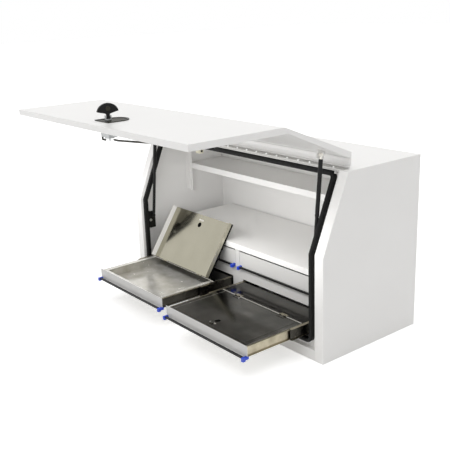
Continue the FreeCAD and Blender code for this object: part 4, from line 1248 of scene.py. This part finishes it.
@dataclass
class Studio:
    """Floor, light and camera."""

    surround_colour: str = "#FFFFFF"
    surround_light: float = 0.42
    floor_size: float = 60.0
    floor_colour: str = "#F2F2F2"
    floor_roughness: float = 0.9
    floor_gleam: float = 0.1
    floor_lift: float = 0.45
    focal_px: float = 734.64
    image_px: float = 450.0
    sensor_mm: float = 36.0
    far_clip: float = 200.0
    azimuth: float = math.radians(52.012)
    pitch: float = math.radians(16.841)
    roll: float = math.radians(-2.159)
    eye: Triple = (2.6295, -2.2947, 1.4566)

    def build(self) -> None:
        """Set up the stage."""
        scene = bpy.context.scene
        scene.view_settings.view_transform = "Standard"
        self.world(scene)
        self.floor(scene)
        for light in LIGHTS:
            light.hang()
        self.camera(scene)

    @staticmethod
    def looked_at(tree: bpy.types.NodeTree) -> bpy.types.NodeSocket:
        """Tell the rays that show a surface from those that only gather its light.

        Args:
            tree: The node tree of the floor or of the surround.

        Returns:
            A socket that is 1 for camera, glossy and transmission rays, and otherwise 0.
        """
        rays = add_node(tree, "ShaderNodeLightPath")
        seen = add_node(tree, "ShaderNodeMath", {"operation": "MAXIMUM"},
                        {0: rays.outputs["Is Camera Ray"], 1: rays.outputs["Is Glossy Ray"]})
        clear = add_node(tree, "ShaderNodeMath", {"operation": "MAXIMUM"},
                         {0: seen.outputs[0], 1: rays.outputs["Is Transmission Ray"]})
        return clear.outputs[0]

    def world(self, scene: bpy.types.Scene) -> None:
        """Give a plain pale surround: white to the eye and in reflections, softer as light.

        Args:
            scene: The scene that takes the world.
        """
        world = bpy.data.worlds.new("pale studio")
        world.use_nodes = True
        tree = world.node_tree
        tree.nodes.clear()
        strength = add_node(tree, "ShaderNodeMapRange", inputs={
            "Value": self.looked_at(tree), "To Min": self.surround_light, "To Max": 1.0})
        glow = add_node(tree, "ShaderNodeBackground", inputs={
            "Color": linear(self.surround_colour), "Strength": strength.outputs["Result"]})
        add_node(tree, "ShaderNodeOutputWorld", inputs={"Surface": glow.outputs["Background"]})
        scene.world = world

    def floor(self, scene: bpy.types.Scene) -> None:
        """Lay a plain pale floor that keeps the object's shadow.

        Args:
            scene: The scene that takes the floor.
        """
        mesh = bmesh.new()
        bmesh.ops.create_grid(mesh, x_segments=1, y_segments=1, size=self.floor_size / 2)
        data = bpy.data.meshes.new("floor")
        mesh.to_mesh(data)
        mesh.free()
        floor = bpy.data.objects.new("floor", data)
        scene.collection.objects.link(floor)
        made = bpy.data.materials.new("pale studio floor")
        made.use_nodes = True
        tree = made.node_tree
        tree.nodes.clear()
        lift = add_node(tree, "ShaderNodeMath", {"operation": "MULTIPLY"},
                        {0: self.looked_at(tree), 1: self.floor_lift})
        shader = add_node(tree, "ShaderNodeBsdfPrincipled", inputs={
            "Base Color": linear(self.floor_colour), "Roughness": self.floor_roughness,
            "Specular IOR Level": self.floor_gleam, "Emission Color": linear(self.surround_colour),
            "Emission Strength": lift.outputs[0]})
        add_node(tree, "ShaderNodeOutputMaterial", inputs={"Surface": shader.outputs["BSDF"]})
        data.materials.append(made)

    def camera(self, scene: bpy.types.Scene) -> None:
        """Stand the camera where the photograph was taken from.

        Args:
            scene: The scene that looks through it.
        """
        flat = math.cos(self.pitch)
        ahead = Vector((-math.sin(self.azimuth) * flat, math.cos(self.azimuth) * flat,
                        -math.sin(self.pitch)))
        level_line = Vector((math.cos(self.azimuth), math.sin(self.azimuth), 0.0))
        up = level_line.cross(ahead)
        right = level_line * math.cos(self.roll) + up * math.sin(self.roll)
        top = up * math.cos(self.roll) - level_line * math.sin(self.roll)
        data = bpy.data.cameras.new("camera")
        data.sensor_width = self.sensor_mm
        data.lens = self.focal_px / self.image_px * self.sensor_mm
        data.clip_end = self.far_clip
        camera = bpy.data.objects.new("camera", data)
        camera.matrix_world = axes(right, top, -ahead, Vector(self.eye))
        scene.collection.objects.link(camera)
        scene.camera = camera


def main() -> None:
    """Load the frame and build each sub-assembly."""
    logging.basicConfig(level=logging.INFO, format="%(name)s: %(message)s")
    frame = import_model()
    bench = Bench(frame)
    Studio().build()
    Case(bench).build()
    DoorSeal(bench).build()
    Cabinet(bench).build()
    Lid(bench).build()
    Lock(bench).build()
    StrutBrackets(bench).build()
    for side in Side:
        GasStrut(bench, side).build()
    for bay in Bay:
        Drawer(bench, bay).build()


if __name__ == "__main__":
    main()
